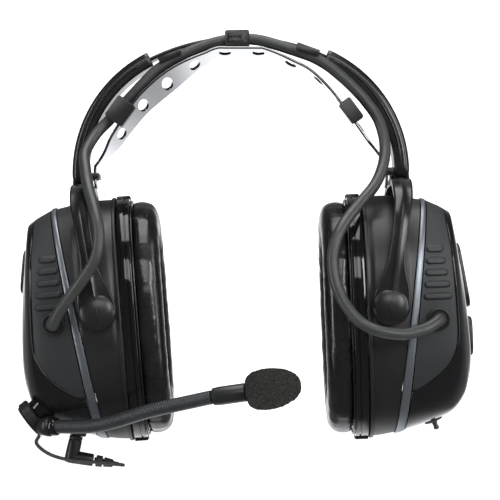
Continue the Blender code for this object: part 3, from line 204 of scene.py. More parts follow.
class Paint:
    """A Principled material with helpers that wire its procedural detail."""

    def __init__(self, name, colour, roughness, metallic=0.0):
        self.material = bpy.data.materials.new(name)
        self.material.use_nodes = True
        self.tree = self.material.node_tree
        self.shader = self.tree.nodes["Principled BSDF"]
        self.set(self.shader, "Base Color", (*colour, 1.0))
        self.set(self.shader, "Roughness", roughness)
        self.set(self.shader, "Metallic", metallic)
        self.colour, self.roughness = colour, roughness
        self.coords = self.tree.nodes.new("ShaderNodeTexCoord").outputs["Object"]

    def set(self, node, name, value):
        if isinstance(value, bpy.types.NodeSocket):
            self.tree.links.new(value, node.inputs[name])
        else:
            node.inputs[name].default_value = value

    def node(self, kind, output, settings=(), **inputs):
        made = self.tree.nodes.new(kind)
        for name, value in dict(settings).items():
            setattr(made, name, value)
        for name, value in inputs.items():
            self.set(made, name.replace("_", " "), value)
        return made.outputs[output]

    def stretched(self, scale):
        return self.node("ShaderNodeMapping", "Vector", Vector=self.coords, Scale=scale)

    def noise(self, scale, detail=4.0, vector=None, distortion=0.0):
        return self.node("ShaderNodeTexNoise", "Fac", Vector=vector or self.coords, Scale=scale,
                         Detail=detail, Distortion=distortion)

    def cells(self, scale, feature="F1"):
        return self.node("ShaderNodeTexVoronoi", "Distance", {"feature": feature}, Vector=self.coords,
                         Scale=scale)

    def weave(self, direction):
        return self.node("ShaderNodeTexWave", "Fac", {"bands_direction": direction}, Vector=self.coords,
                         Scale=420.0, Distortion=1.2, Detail=2.0)

    def spread(self, value, low, high, start=0.3, end=0.7):
        made = self.tree.nodes.new("ShaderNodeMapRange")
        limits = {"Value": value, "From Min": start, "From Max": end, "To Min": low, "To Max": high}
        for name, number in limits.items():
            self.set(made, name, number)
        return made.outputs["Result"]

    def vary_colour(self, value, amount):
        """The colour, between darker and lighter by a share, following a texture."""
        blend = self.tree.nodes.new("ShaderNodeMix")
        blend.data_type = "RGBA"
        self.tree.links.new(self.spread(value, 0.0, 1.0), blend.inputs["Factor"])
        for socket, share in zip([i for i in blend.inputs if i.type == "RGBA"], (1 - amount, 1 + amount)):
            socket.default_value = (*(c * share for c in self.colour), 1.0)
        self.set(self.shader, "Base Color", next(o for o in blend.outputs if o.type == "RGBA"))

    def vary_roughness(self, value, amount):
        varied = self.spread(value, self.roughness - amount, self.roughness + amount)
        self.set(self.shader, "Roughness", varied)

    def bump(self, value, strength, distance):
        normal = self.shader.inputs["Normal"]
        before = normal.links[0].from_socket if normal.links else None
        made = self.tree.nodes.new("ShaderNodeBump")
        self.set(made, "Height", value)
        self.set(made, "Strength", strength)
        self.set(made, "Distance", distance)
        if before:
            self.set(made, "Normal", before)
        self.set(self.shader, "Normal", made.outputs["Normal"])


def gloss_plastic():
    """Polished black moulding, with a faint flow ripple, hairlines and finger marks."""
    paint = Paint("gloss_plastic", (0.0052, 0.0053, 0.0058), 0.085)
    paint.vary_roughness(paint.noise(38.0, 6.0, distortion=0.6), 0.05)
    paint.vary_colour(paint.noise(22.0, 3.0), 0.18)
    paint.bump(paint.noise(140.0, 2.0), 0.05, 0.0004)
    paint.bump(paint.noise(1.0, 2.0, paint.stretched((9000.0, 9000.0, 500.0))), 0.012, 0.0001)
    return paint.material


def strap_lacquer():
    """The strap's thick clear lacquer over black: mirror-like at a low angle, with faint scuffs."""
    paint = Paint("strap_lacquer", (0.012, 0.012, 0.014), 0.16)
    paint.vary_roughness(paint.noise(1.0, 4.0, paint.stretched((200.0, 1500.0, 200.0))), 0.05)
    paint.vary_colour(paint.noise(35.0, 4.0), 0.2)
    paint.bump(paint.noise(160.0, 2.0), 0.03, 0.0003)
    paint.set(paint.shader, "Coat Weight", 1.0)
    paint.set(paint.shader, "Coat Roughness", 0.08)
    paint.set(paint.shader, "Coat IOR", 2.6)
    paint.set(paint.shader, "Coat Tint", (0.93, 0.94, 1.0, 1.0))
    return paint.material


def sheen_plastic():
    """Half-gloss black moulding of the sliding arms and forks."""
    paint = Paint("sheen_plastic", (0.0065, 0.0067, 0.0072), 0.25)
    paint.vary_roughness(paint.noise(45.0, 6.0, distortion=0.5), 0.06)
    paint.vary_colour(paint.noise(30.0, 4.0), 0.2)
    paint.bump(paint.noise(3200.0, 2.0), 0.07, 0.00006)
    return paint.material


def satin_plastic():
    """Lightly textured black moulding."""
    paint = Paint("satin_plastic", (0.0095, 0.0098, 0.0105), 0.34)
    paint.vary_roughness(paint.noise(60.0, 5.0), 0.06)
    paint.vary_colour(paint.noise(45.0, 4.0), 0.22)
    paint.bump(paint.noise(3800.0, 2.0), 0.10, 0.00008)
    return paint.material


def grained_plastic():
    """The shell's coarser spark-eroded grain."""
    paint = Paint("grained_plastic", (0.0072, 0.0074, 0.0077), 0.42)
    paint.vary_roughness(paint.noise(50.0, 5.0), 0.07)
    paint.vary_colour(paint.noise(2200.0, 3.0), 0.3)
    paint.bump(paint.cells(1900.0, "SMOOTH_F1"), 0.22, 0.00016)
    return paint.material


def soft_touch():
    """Matte charcoal coating with a fine even grain, rubbed slightly smoother in places."""
    paint = Paint("soft_touch", (0.0132, 0.015, 0.0163), 0.56)
    paint.vary_roughness(paint.noise(30.0, 6.0), 0.07)
    paint.vary_colour(paint.noise(55.0, 6.0), 0.12)
    paint.bump(paint.noise(5200.0, 3.0), 0.16, 0.00007)
    return paint.material


def accent_metal():
    """Metallic lacquer with a fine grain along the stripe."""
    paint = Paint("accent_metal", (0.2, 0.218, 0.24), 0.38, 0.85)
    grain = paint.noise(1.0, 3.0, paint.stretched((5200.0, 5200.0, 260.0)))
    paint.vary_roughness(grain, 0.07)
    paint.vary_colour(paint.noise(2600.0, 3.0), 0.16)
    paint.bump(grain, 0.05, 0.00006)
    return paint.material


def leatherette():
    """Soft coated fabric: a fine pebble grain over slow creases, with a moist sheen."""
    paint = Paint("leatherette", (0.0068, 0.0068, 0.0072), 0.24)
    warped = paint.noise(420.0, 3.0, distortion=0.4)
    paint.vary_roughness(paint.noise(75.0, 5.0), 0.07)
    paint.vary_colour(warped, 0.25)
    paint.bump(paint.noise(150.0, 4.0), 0.16, 0.0005)
    paint.bump(paint.cells(1500.0, "SMOOTH_F1"), 0.2, 0.00012)
    return paint.material


def cable_rubber(name="cable_rubber", colour=(0.026, 0.0272, 0.027), roughness=0.42):
    """Extruded jacket: satin, with faint drawing lines and a little dust."""
    paint = Paint(name, colour, roughness)
    paint.vary_roughness(paint.noise(120.0, 5.0), 0.08)
    paint.vary_colour(paint.noise(90.0, 5.0), 0.14)
    paint.bump(paint.noise(2600.0, 3.0), 0.12, 0.00007)
    return paint.material


def open_foam():
    """Open-cell foam: pores sunk between struts, with painted shade that darkens the pores' hollows."""
    paint = Paint("open_foam", (0.0185, 0.0185, 0.0168), 0.96)
    pores = paint.cells(2300.0)
    # painted shade: the colour is darker where the cells sink into pores, standing in for the shade in those
    # hollows
    paint.vary_colour(pores, 0.65)
    paint.bump(pores, 0.9, 0.0003)
    paint.set(paint.shader, "Specular IOR Level", 0.15)
    return paint.material


def coated_steel():
    """Spring strip with a thin dark coating, worn a little along its length."""
    paint = Paint("coated_steel", (0.011, 0.011, 0.012), 0.3, 0.25)
    grain = paint.noise(1.0, 4.0, paint.stretched((300.0, 6000.0, 300.0)))
    paint.vary_roughness(grain, 0.08)
    paint.vary_colour(paint.noise(70.0, 5.0), 0.3)
    paint.bump(grain, 0.05, 0.00006)
    return paint.material


def speaker_cloth():
    """Woven acoustic cloth over foam."""
    paint = Paint("speaker_cloth", (0.012, 0.012, 0.013), 0.8)
    warp, weft = paint.weave("Y"), paint.weave("Z")
    paint.vary_colour(warp, 0.35)
    paint.bump(warp, 0.5, 0.00015)
    paint.bump(weft, 0.5, 0.00015)
    return paint.material


def circuit_green():
    """Board lacquer over faint copper tracks."""
    paint = Paint("circuit_green", (0.01, 0.09, 0.035), 0.35)
    paint.vary_colour(paint.cells(260.0, "DISTANCE_TO_EDGE"), 0.35)
    paint.bump(paint.cells(400.0), 0.2, 0.0001)
    return paint.material


def battery_wrap():
    """Shrink film with slow wrinkles."""
    paint = Paint("battery_wrap", (0.05, 0.06, 0.11), 0.3)
    paint.vary_colour(paint.noise(40.0), 0.15)
    paint.bump(paint.noise(120.0, 3.0, distortion=1.0), 0.3, 0.0004)
    return paint.material


GLOSS = gloss_plastic()
SHEEN = sheen_plastic()
LACQUER = strap_lacquer()
SATIN = satin_plastic()
GRAIN = grained_plastic()
SOFT = soft_touch()
ACCENT = accent_metal()
LEATHER = leatherette()
RUBBER = cable_rubber()
NECK_RUBBER = cable_rubber("neck_rubber", (0.0165, 0.0185, 0.0205), 0.36)
FOAM = open_foam()
STEEL = coated_steel()
CLOTH = speaker_cloth()
BOARD = circuit_green()
CELL = battery_wrap()


# ---------------------------------------------------------------- mesh helpers

def turns(count):
    """The angles of a full circle in equal steps."""
    return [2 * math.pi * k / count for k in range(count)]


def eased(value):
    """Zero to one through a smooth step."""
    value = min(1.0, max(0.0, value))
    return value * value * (3 - 2 * value)


def catmull(a, b, c, d, t):
    """A point between b and c on the Catmull-Rom curve through four points."""
    return 0.5 * (2 * b + (c - a) * t + (2 * a - 5 * b + 4 * c - d) * t * t
                  + (3 * b - a - 3 * c + d) * t ** 3)


def mesh_piece(name, points, faces):
    """A mesh object from points in millimetres, with its faces turned outward."""
    mesh = bpy.data.meshes.new(name)
    mesh.from_pydata([Vector(p) * MM for p in points], [], faces)
    bm = bmesh.new()
    bm.from_mesh(mesh)
    bmesh.ops.recalc_face_normals(bm, faces=bm.faces)
    bm.to_mesh(mesh)
    bm.free()
    obj = bpy.data.objects.new(name, mesh)
    bpy.context.scene.collection.objects.link(obj)
    return obj


def lofted(name, rows, wrap=False):
    """A closed quad surface through rings of equal count: capped at both ends, or end joined to start."""
    count, points, faces = len(rows[0]), [p for row in rows for p in row], []
    for r in range(len(rows) if wrap else len(rows) - 1):
        here, ahead = r * count, (r + 1) % len(rows) * count
        for c in range(count):
            d = (c + 1) % count
            faces.append((here + c, here + d, ahead + d, ahead + c))
    if not wrap:
        faces += [tuple(range(count)), tuple(range(len(points) - count, len(points)))]
    return mesh_piece(name, points, faces)


def smooth_faces(obj, angle):
    """Shades a mesh smooth, with sharp edges past an angle."""
    obj.data.shade_smooth()
    obj.data.set_sharp_from_angle(angle=math.radians(angle))


def bevelled(obj, width, angle):
    """Rounds an object's edges over a limit angle."""
    modifier = obj.modifiers.new("rounding", "BEVEL")
    modifier.width = width * MM
    modifier.segments = 3
    modifier.limit_method = "ANGLE"
    modifier.angle_limit = math.radians(angle)
    modifier.harden_normals = True
    applied(obj)


def applied(obj):
    """Replaces the object's mesh by what its modifiers make of it."""
    bpy.context.view_layer.update()
    mesh = bpy.data.meshes.new_from_object(obj.evaluated_get(bpy.context.evaluated_depsgraph_get()))
    obj.modifiers.clear()
    obj.data = mesh


def transformed(obj, matrix):
    """Moves a mesh by a matrix whose lengths are in millimetres."""
    for step in (Matrix.Diagonal((1 / MM,) * 3).to_4x4(), matrix, Matrix.Diagonal((MM,) * 3).to_4x4()):
        obj.data.transform(step)


def carved(obj, other, operation="DIFFERENCE"):
    """Cuts or joins another object into this one, and removes the other."""
    modifier = obj.modifiers.new("cut", "BOOLEAN")
    modifier.object = other
    modifier.operation = operation
    applied(obj)
    bpy.data.objects.remove(other)


def place(obj, body, material, node, width=0.0, angle=35.0):
    """Gives a finished shape its rounding, material and body, and hides the node that it stands for."""
    obj.data.materials.clear()
    obj.data.materials.append(material)
    if width:
        bevelled(obj, width, angle)
    smooth_faces(obj, 40.0)
    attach(obj, body)
    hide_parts(node)


def smooth_route(points, spacing):
    """Points a set distance apart along a Catmull-Rom curve through a route."""
    knots = [Vector(p) for p in points]
    knots = [2 * knots[0] - knots[1], *knots, 2 * knots[-1] - knots[-2]]
    fine = []
    for a, b, c, d in zip(knots, knots[1:], knots[2:], knots[3:]):
        fine += [catmull(a, b, c, d, step / 24) for step in range(24)]
    fine.append(knots[-2])
    length = route_length(fine)
    wanted = max(2, round(length / spacing))
    placed, walked, target = [fine[0]], 0.0, length / wanted
    for p, q in zip(fine, fine[1:]):
        step = (q - p).length
        while walked + step >= target * len(placed) and len(placed) < wanted:
            placed.append(p.lerp(q, (target * len(placed) - walked) / step))
        walked += step
    return placed + [fine[-1]]


def route_length(points):
    """The length of a line through points."""
    return sum((Vector(q) - Vector(p)).length for p, q in zip(points, points[1:]))


def rotating_frames(points):
    """Side and up vectors along a route, carried without twist."""
    frames, side = [], None
    for i, point in enumerate(points):
        ahead = (points[min(i + 1, len(points) - 1)] - points[max(i - 1, 0)]).normalized()
        if side is None:
            side = ahead.orthogonal().normalized()
        side = (side - ahead * side.dot(ahead)).normalized()
        frames.append((point, side, ahead.cross(side)))
    return frames


def tube_rows(points, radius_at, sides):
    """Rings round a route; radius_at gives each ring's radius from its share of the length."""
    rows, last = [], len(points) - 1
    for i, (centre, side, up) in enumerate(rotating_frames(points)):
        radius = radius_at(i / last)
        rows.append([centre + radius * (math.cos(a) * side + math.sin(a) * up) for a in turns(sides)])
    return rows


def lathe(name, profile, centre, axis, sides=56):
    """A turned solid: profile (radius, height) from one end of the axis to the other."""
    turn = Vector(axis).to_track_quat("Z", "Y")
    rows = []
    for radius, height in profile:
        reach = max(radius, 0.02)
        ring = [Vector((reach * math.cos(a), reach * math.sin(a), height)) for a in turns(sides)]
        rows.append([Vector(centre) + turn @ point for point in ring])
    closed = profile[0][0] > 0 and profile[-1][0] > 0 and profile[0] != profile[-1]
    return lofted(name, rows, wrap=closed)


def rounded_rect(low, high, radii, steps=6):
    """A rectangle's outline with a radius on each corner, counter-clockwise from its lower left."""
    (x0, y0), (x1, y1) = low, high
    corners = [(x0, y0, 1, 1, 180), (x1, y0, -1, 1, 270), (x1, y1, -1, -1, 0), (x0, y1, 1, -1, 90)]
    outline = []
    for (x, y, dx, dy, start), radius in zip(corners, radii):
        for k in range(steps + 1):
            a = math.radians(start + 90 * k / steps)
            outline.append((x + dx * radius + radius * math.cos(a), y + dy * radius + radius * math.sin(a)))
    return outline


def box_rows(low, high, rounding=0.6, steps=4):
    """Rings of a box along y, with rounded vertical corners."""
    outline = rounded_rect((low[0], low[2]), (high[0], high[2]), [rounding] * 4, steps)
    return [[Vector((x, y, z)) for x, z in outline] for y in (low[1], high[1])]


# ---------------------------------------------------------------- frames

def side_centre(side):
    """The middle of a side's arc, round which its arm slides."""
    return Vector((side * SIDE_CENTRE_X, 0.0, SIDE_CENTRE_Z))


def arm_matrix(name):
    """The arm's frame to the row frame, at the photo's extension."""
    side = SIDES[name]
    slide = Matrix.Rotation(math.radians(side * EXTENSION[name]), 4, "Y")
    return Matrix.Translation(side_centre(side)) @ slide


def cup_matrix(name):
    """The cup's frame, with its origin on the yoke's pins, to the row frame."""
    side = SIDES[name]
    pivot = arm_matrix(name) @ (Vector((side * PIVOT_X, 0.0, PIVOT_Z)) - side_centre(side))
    return Matrix.Translation(pivot) @ Matrix.Rotation(math.radians(side * CUP_LEAN[name]), 4, "Y")


def moved(rows, matrix):
    """Rings of points moved by a matrix."""
    return [[matrix @ Vector(p) for p in row] for row in rows]


def arc_point(side, radius, angle, y=0.0):
    """A point on a side's arc, from the arc's middle; 0 degrees is straight up."""
    a = math.radians(angle)
    return Vector((side * radius * math.sin(a), y, radius * math.cos(a)))


def steps_between(start, end, step):
    """Even steps from start to end, as near to a step's size as they divide."""
    count = max(1, round(abs(end - start) / step))
    return [start + (end - start) * k / count for k in range(count + 1)]


# ---------------------------------------------------------------- cords

def cord_piece(name, points, radius, node, ends, sides=28):
    """A jacketed cable as a mesh tube along its route, in metres."""
    rows = tube_rows([p / MM for p in points], lambda share: radius / MM, sides)
    cable = lofted(name, rows)
    cable.data.materials.append(RUBBER)
    smooth_faces(cable, 60.0)
    if isinstance(ends, str):
        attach(cable, ends)
    else:
        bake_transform(cable)
    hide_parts(node)


def make_cords():
    """The crossover cable, split where it passes from body to body, and the plug's lead."""
    top = smooth_route(CABLE_TOP_ROUTE, CABLE_STEP)
    cord_piece("crossover_top", top, CABLE_RADIUS, "cable_top", "headband")
    for name, route, turn, join in (("left", CABLE_LEFT_ROUTE, 8, CABLE_TOP_ROUTE[0]),
                                    ("right", CABLE_RIGHT_ROUTE, 9, CABLE_TOP_ROUTE[-1])):
        points = smooth_route([join, *route[1:]], CABLE_STEP)
        split = min(range(len(points)), key=lambda i: (points[i] - Vector(route[turn])).length)
        cord_piece(f"crossover_{name}_upper", points[:split + 1], CABLE_RADIUS, f"cable_{name}",
                   ("headband", f"arm_{name}", route[0], route[turn - 1]))
        cord_piece(f"crossover_{name}_lower", points[split:][::-1], CABLE_RADIUS, f"cable_{name}",
                   (f"arm_{name}", f"cup_{name}", route[turn + 1], route[-2]))
    cord_piece("microphone_lead", smooth_route(LEAD_ROUTE, 0.0006), LEAD_RADIUS, "mic_lead",
               ("cup_left", "boom", LEAD_ROUTE[5], LEAD_ROUTE[1]), sides=16)


make_cords()


# ---------------------------------------------------------------- headband

def band_path():
    """The arch band's middle line and its outward normals, from left end to right end."""
    half = []
    for a in steps_between(0.0, BLEND_ANGLE, 1.0):
        out = arc_point(1, 1.0, a)
        half.append((Vector((0, 0, TOP_CENTRE_Z)) + TOP_RADIUS * out, out))
    for a in steps_between(BLEND_ANGLE, BAND_END_ANGLE, 1.0)[1:]:
        out = arc_point(1, 1.0, a)
        half.append((side_centre(1) + BAND_RADIUS * out, out))
    flip = [(Vector((-p.x, 0, p.z)), Vector((-n.x, 0, n.z))) for p, n in half[:0:-1]]
    return flip + half


def make_band():
    """The sprung strip, with rolled edges and a shallow stiffening rib along its middle."""
    rows = []
    edge = BAND_THICK / 2
    for point, out in band_path():
        section = rounded_rect((-edge, -BAND_WIDTH / 2), (edge, BAND_WIDTH / 2), [edge * 0.9] * 4)
        rows.append([point + out * x + Vector((0, y, 0)) for x, y in section])
    place(lofted("band_strip", rows), "headband", STEEL, "arch_band", 0.25)


def make_shoes():
    """The end blocks that guide the strip inside the hoods."""
    for name, side in SIDES.items():
        rows = []
        start = BAND_END_ANGLE + SHOE_GAP
        for angle in steps_between(start, start + SHOE_LENGTH, 1.0):
            section = rounded_rect((BAND_RADIUS - SHOE_HALF_THICK, -SHOE_HALF_WIDTH),
                                   (BAND_RADIUS + SHOE_HALF_THICK, SHOE_HALF_WIDTH), [0.9] * 4)
            rows.append([side_centre(side) + arc_point(side, r, angle, y) for r, y in section])
        place(lofted(f"end_shoe_{name}", rows), "headband", SATIN, f"slide_shoe_{name}", 0.4)


def strap_line():
    """The strap's underside line from left tongue to right tongue, at about 2 mm steps."""
    halves = []
    for name, side in SIDES.items():
        route = [Vector((side * x, 0, z)) for x, z in STRAP_ROUTE[name]]
        angles = steps_between(TONGUE_START, TONGUE_END, 2.2)
        tongue = [side_centre(side) + arc_point(side, TONGUE_RADIUS, a) for a in angles]
        path = smooth_route(route[1:] + tongue[:1], 2.0)
        crown = []
        for share in (0.0, 0.25, 0.5, 0.75):
            rise = 4 * STRAP_CROWN * share * (1 - share)
            crown.append(route[0].lerp(route[1], share) + Vector((0, 0, rise)))
        halves.append(crown + path + tongue[1:])
    flat = [Vector((x, 0, 0)) for x in (-6.0, -3.0, 0.0, 3.0, 6.0)]
    return halves[0][::-1] + flat + halves[1]


def interpolated(table, at):
    """The value that a table of (place, value) gives at a place, held at its ends."""
    for (low, first), (high, second) in zip(table, table[1:]):
        if at <= high:
            return first + (second - first) * max(0.0, at - low) / (high - low)
    return table[-1][1]


def eased_table(table, at):
    """The same, through a curve instead of straight lines."""
    return sum(interpolated(table, at + shift) for shift in (-3.0, -1.5, 0.0, 1.5, 3.0)) / 5


def strap_width(x, z):
    """Half the strap's width and its twist at a place: it narrows into the tongues."""
    tongue_z = SIDE_CENTRE_Z + TONGUE_RADIUS * math.cos(math.radians(NARROW_START))
    narrow = eased((tongue_z - z) / NARROW_LENGTH)
    twist = eased_table(STRAP_TWIST, x) * (1 - narrow)
    return (STRAP_WIDTH + (TONGUE_WIDTH - STRAP_WIDTH) * narrow) / 2, twist


def strap_spot(points, x):
    """The place, run and outward normal on the strap's underside at a given x."""
    inner = points[8:-8]
    i = min(range(1, len(inner) - 1), key=lambda k: abs(inner[k].x - x))
    ahead = (inner[i + 1] - inner[i - 1]).normalized()
    at = inner[i] + ahead * ((x - inner[i].x) / ahead.x)
    return at, ahead, Vector((-ahead.z, 0, ahead.x))


def make_strap():
    """The comfort strap: a polished strip with rolled edges and a row of long holes across it."""
    points, rows = strap_line(), []
    for i, here in enumerate(points):
        ahead = (points[min(i + 1, len(points) - 1)] - points[max(i - 1, 0)]).normalized()
        normal = Vector((-ahead.z, 0, ahead.x))
        half, twist = strap_width(here.x, here.z)
        section = rounded_rect((0.0, -half), (STRAP_THICK, half), [0.5] * 4, 4)
        rows.append([here + normal * (x - twist * y) + Vector((0, y, 0)) for x, y in section])
    strap = lofted("head_strap", rows)
    for x in STRAP_HOLES_X:
        at, ahead, normal = strap_spot(points, x)
        rows = []
        for depth in (-4.5, 5.5):
            rows.append([at + normal * depth + ahead * (HOLE_HALF_WIDTH * math.cos(a))
                         + Vector((0, HOLE_HALF_LENGTH * math.sin(a), 0)) for a in turns(48)])
        carved(strap, lofted("punch", rows))
    place(strap, "headband", LACQUER, "comfort_strap", 0.15, 60.0)
    weigh = strap.modifiers.new("even_shading", "WEIGHTED_NORMAL")
    weigh.keep_sharp = True
    weigh.weight = 80
    applied(strap)


def turned_rows(rows, centre, tangent):
    """Turns rows whose +X is the tangent and +Z the outward normal, and moves them to their place."""
    run, out = Vector((tangent[0], 0, tangent[1])), Vector((-tangent[1], 0, tangent[0]))
    return [[Vector(centre) + run * p.x + out * p.z + Vector((0, p.y, 0)) for p in row] for row in rows]


def clip_block(name, centre, tangent, low, high, slot, holes):
    """A moulded clip: a rounded block with a strip slot and holes for the cable."""
    block = lofted(name, turned_rows(box_rows(low, high, 1.0), centre, tangent))
    carved(block, lofted("slot", turned_rows(box_rows(*slot, 0.3), centre, tangent)))
    for hole_centre, radius in holes:
        run, bore = Vector((tangent[0], 0, tangent[1])), [(0, -20), (radius, -20), (radius, 20), (0, 20)]
        carved(block, lathe("hole", bore, hole_centre, run, 40))
    return block


def make_band_clips():
    """Centre clip and the two slender hooks that hang the cable beside the band."""
    route = [p / MM for p in smooth_route(CABLE_TOP_ROUTE, CABLE_STEP)]
    margin = BAND_THICK / 2 + CLIP_MARGIN
    for name, x, half, top, low, front, roof in BAND_CLIPS:
        a = math.asin(x / TOP_RADIUS)
        centre = (x, 0.0, TOP_CENTRE_Z + TOP_RADIUS * math.cos(a))
        tangent = (math.cos(a), -math.sin(a))
        near = min(range(len(route)), key=lambda i: abs(route[i].x - x))
        slot = ((-CUT_REACH, -CLIP_SLOT_HALF, -margin), (CUT_REACH, CLIP_SLOT_HALF, margin))
        clip = clip_block(f"{name}_shell", centre, tangent, (-half, front, low), (half, CLIP_BACK, top), slot,
                          [(route[near], CABLE_RADIUS / MM + CLIP_MARGIN)])
        if roof < top:
            notch = box_rows((-CUT_REACH, -CUT_REACH, roof), (CUT_REACH, CLIP_CUT_BACK, 10), 0.3)
            carved(clip, lofted("notch", turned_rows(notch, centre, tangent)))
        else:
            emboss_marks(clip, centre, tangent)
        place(clip, "headband", SATIN, name, 0.3, 40.0)


def emboss_marks(clip, centre, tangent):
    """Two short rows of raised bars on the centre clip's front face, as generic moulded marks."""
    for row, marks in ((0.2, (-2.6, -0.7, 1.6)), (-1.8, (-2.8, -1.4, 0.4, 2.2))):
        for x in marks:
            bar = box_rows((x - 0.55, -14.3, row - 0.55), (x + 0.55, -13.5, row + 0.55), 0.25)
            carved(clip, lofted("mark", turned_rows(bar, centre, tangent)), "UNION")


def make_strap_clips():
    """The wide clips on the strap's front edge; the left one holds the cable, the right one is empty."""
    points = strap_line()
    route = [p / MM for p in smooth_route(CABLE_LEFT_ROUTE, CABLE_STEP)]
    for name, x, (low, high), slot, back, cable in STRAP_CLIPS:
        at, ahead, normal = strap_spot(points, x)
        holes = []
        if cable:
            wanted = at + normal * (low + high) / 2 + Vector((0, STRAP_CABLE_Y, 0))
            holes.append((min(route, key=lambda p: (p - wanted).length), CABLE_RADIUS / MM + 0.45))
        clip = clip_block(f"{name}_shell", at, (ahead.x, ahead.z), (-STRAP_CLIP_HALF, STRAP_CLIP_FRONT, low),
                          (STRAP_CLIP_HALF, back, high),
                          ((-9, STRAP_SLOT_FRONT, slot[0]), (9, 0, slot[1])), holes)
        place(clip, "headband", SATIN, name, 0.45, 40.0)


# ---------------------------------------------------------------- arms

def hood_ring(side, angle, inset=0.0, half_inset=0.0):
    """A ring of the hood: crowned outer corners, small inner ones, pulled in by an inset."""
    half = HOOD_WIDTH / 2 - inset - half_inset
    section = rounded_rect((HOOD_INNER + inset, -half), (HOOD_OUTER - inset, half), [0.8, 2.7, 2.7, 0.8], 7)
    return [arc_point(side, r, angle, y) for r, y in section]


def make_hood(name, side):
    """The glossy sleeve round the band's end: hollow, with a rolled mouth and a closed foot."""
    matrix = arm_matrix(name)
    span = steps_between(HOOD_START + 0.5, HOOD_END - HOOD_FOOT, 1.5)
    outer = [hood_ring(side, HOOD_START, 0.5), hood_ring(side, HOOD_START + 0.15, 0.15)]
    outer += [hood_ring(side, a) for a in span]
    for k in range(1, 6):
        turn = math.radians(90 * k / 5)
        close = 1 - math.cos(turn)
        angle = HOOD_END - HOOD_FOOT + HOOD_FOOT * math.sin(turn)
        outer.append(hood_ring(side, angle, 0.9 * close, 1.4 * close))
    inner = [hood_ring(side, a, HOOD_WALL * 0.97) for a in [HOOD_START, *span]]
    hood = lofted(f"arm_hood_{name}", moved(outer[::-1] + inner, matrix))
    place(hood, f"arm_{name}", SHEEN, f"hood_{name}", 0.25, 50.0)
    ridge = [arc_point(side, HOOD_OUTER - 3.5, a, -HOOD_WIDTH / 2 + 0.12)
             for a in steps_between(27.0, 86.0, 1.0)]
    rows = moved(tube_rows(ridge, lambda share: 0.5 * min(1.0, 12 * min(share, 1 - share) + 0.2), 12), matrix)
    place(lofted(f"hood_ridge_{name}", rows), f"arm_{name}", SHEEN, f"hood_{name}")


def make_keeper(name, side):
    """The loop under the hood that the strap's tongue slides through, with a rolled mouth."""
    def ring(angle, low, high, half):
        section = rounded_rect((low, -half), (high, half), [0.4] * 4, 4)
        return [arc_point(side, r, angle, y) for r, y in section]

    hole = (TONGUE_RADIUS - KEEPER_GAP, TONGUE_RADIUS + STRAP_THICK + KEEPER_GAP, TONGUE_WIDTH / 2 + 0.5)
    outer = (KEEPER_INNER, HOOD_INNER - 0.15, KEEPER_HALF)
    rows = [ring(KEEPER_START, *outer), ring(KEEPER_END, *outer), ring(KEEPER_END, *hole),
            ring(KEEPER_START, *hole)]
    keeper = lofted(f"tongue_loop_{name}", moved(rows, arm_matrix(name)), wrap=True)
    place(keeper, f"arm_{name}", SATIN, f"strap_keeper_{name}", 0.25)


def yoke_section(half):
    """The leg's section: raised rims along both edges and a centre ridge between two shallow flutes."""
    rim = min(0.75, half * 0.22)
    front = [(-half, 0.55), (-half + 0.15, 0.95), (-half + rim * 0.6, 1.15), (-half + rim, 0.9),
             (-half * 0.45, 1.12), (-0.35, 1.55), (0.0, 1.75), (0.35, 1.55), (half * 0.45, 1.12),
             (half - rim, 0.9), (half - rim * 0.6, 1.15), (half - 0.15, 0.95), (half, 0.55)]
    back = [(half, -1.2), (half - 0.5, -1.7), (0.0, -1.7), (-half + 0.5, -1.7), (-half, -1.2)]
    return front + back


def yoke_line(side, steps):
    """Points of the fork's middle line with their outward normals, from front foot to back foot."""
    line = []
    quarter = [90 * (k / steps) ** 2 for k in range(steps + 1)]
    for a in quarter + [180 - a for a in quarter[-2::-1]]:
        sine, cosine = max(0.0, math.sin(math.radians(a))), math.cos(math.radians(a))
        y = -YOKE_HALF_WIDTH * math.copysign(abs(cosine) ** (2 / YOKE_POWER), cosine)
        w = YOKE_HEIGHT * sine ** (2 / YOKE_POWER)
        normal = Vector((0, math.copysign(abs(y / YOKE_HALF_WIDTH) ** (YOKE_POWER - 1), y) / YOKE_HALF_WIDTH,
                         (w / YOKE_HEIGHT) ** (YOKE_POWER - 1) / YOKE_HEIGHT)).normalized()
        line.append((Vector((side * YOKE_TOP_U * min(1.0, w / 44), y, w)), normal, w))
    return line


def make_yoke(name, side):
    """The fork that carries the cup: fluted arch, neck into the hood, and a domed boss at each foot."""
    matrix = arm_matrix(name) @ Matrix.Translation(Vector((side * PIVOT_X, 0, PIVOT_Z)) - side_centre(side))
    rows = []
    for middle, normal, w in yoke_line(side, 40):
        half = eased_table(YOKE_WIDTHS, w) / 2
        rows.append([middle + Vector((side * u, 0, 0)) + normal * t for u, t in yoke_section(half)])
    node, body = f"yoke_{name}", f"arm_{name}"
    place(lofted(f"fork_{name}_arch", moved(rows, matrix)), body, SHEEN, node)
    top = Vector((side * (YOKE_TOP_U + 0.4), 0, YOKE_HEIGHT))
    neck = []
    for z, grow in ((0.6, 3.0), (1.2, 1.4), (1.8, 0.5), (2.5, 0.0), (3.4, 0.0)):
        outline = rounded_rect((-4.1, -6.6 - 2.2 * grow), (4.1, 6.6 + 2.2 * grow), [1.6] * 4)
        neck.append([top + Vector((x, y, z)) for x, y in outline])
    place(lofted(f"fork_{name}_neck", moved(neck, matrix)), body, SHEEN, node)
    for end, way in ENDS.items():
        make_dome(name, side, end, way, matrix)


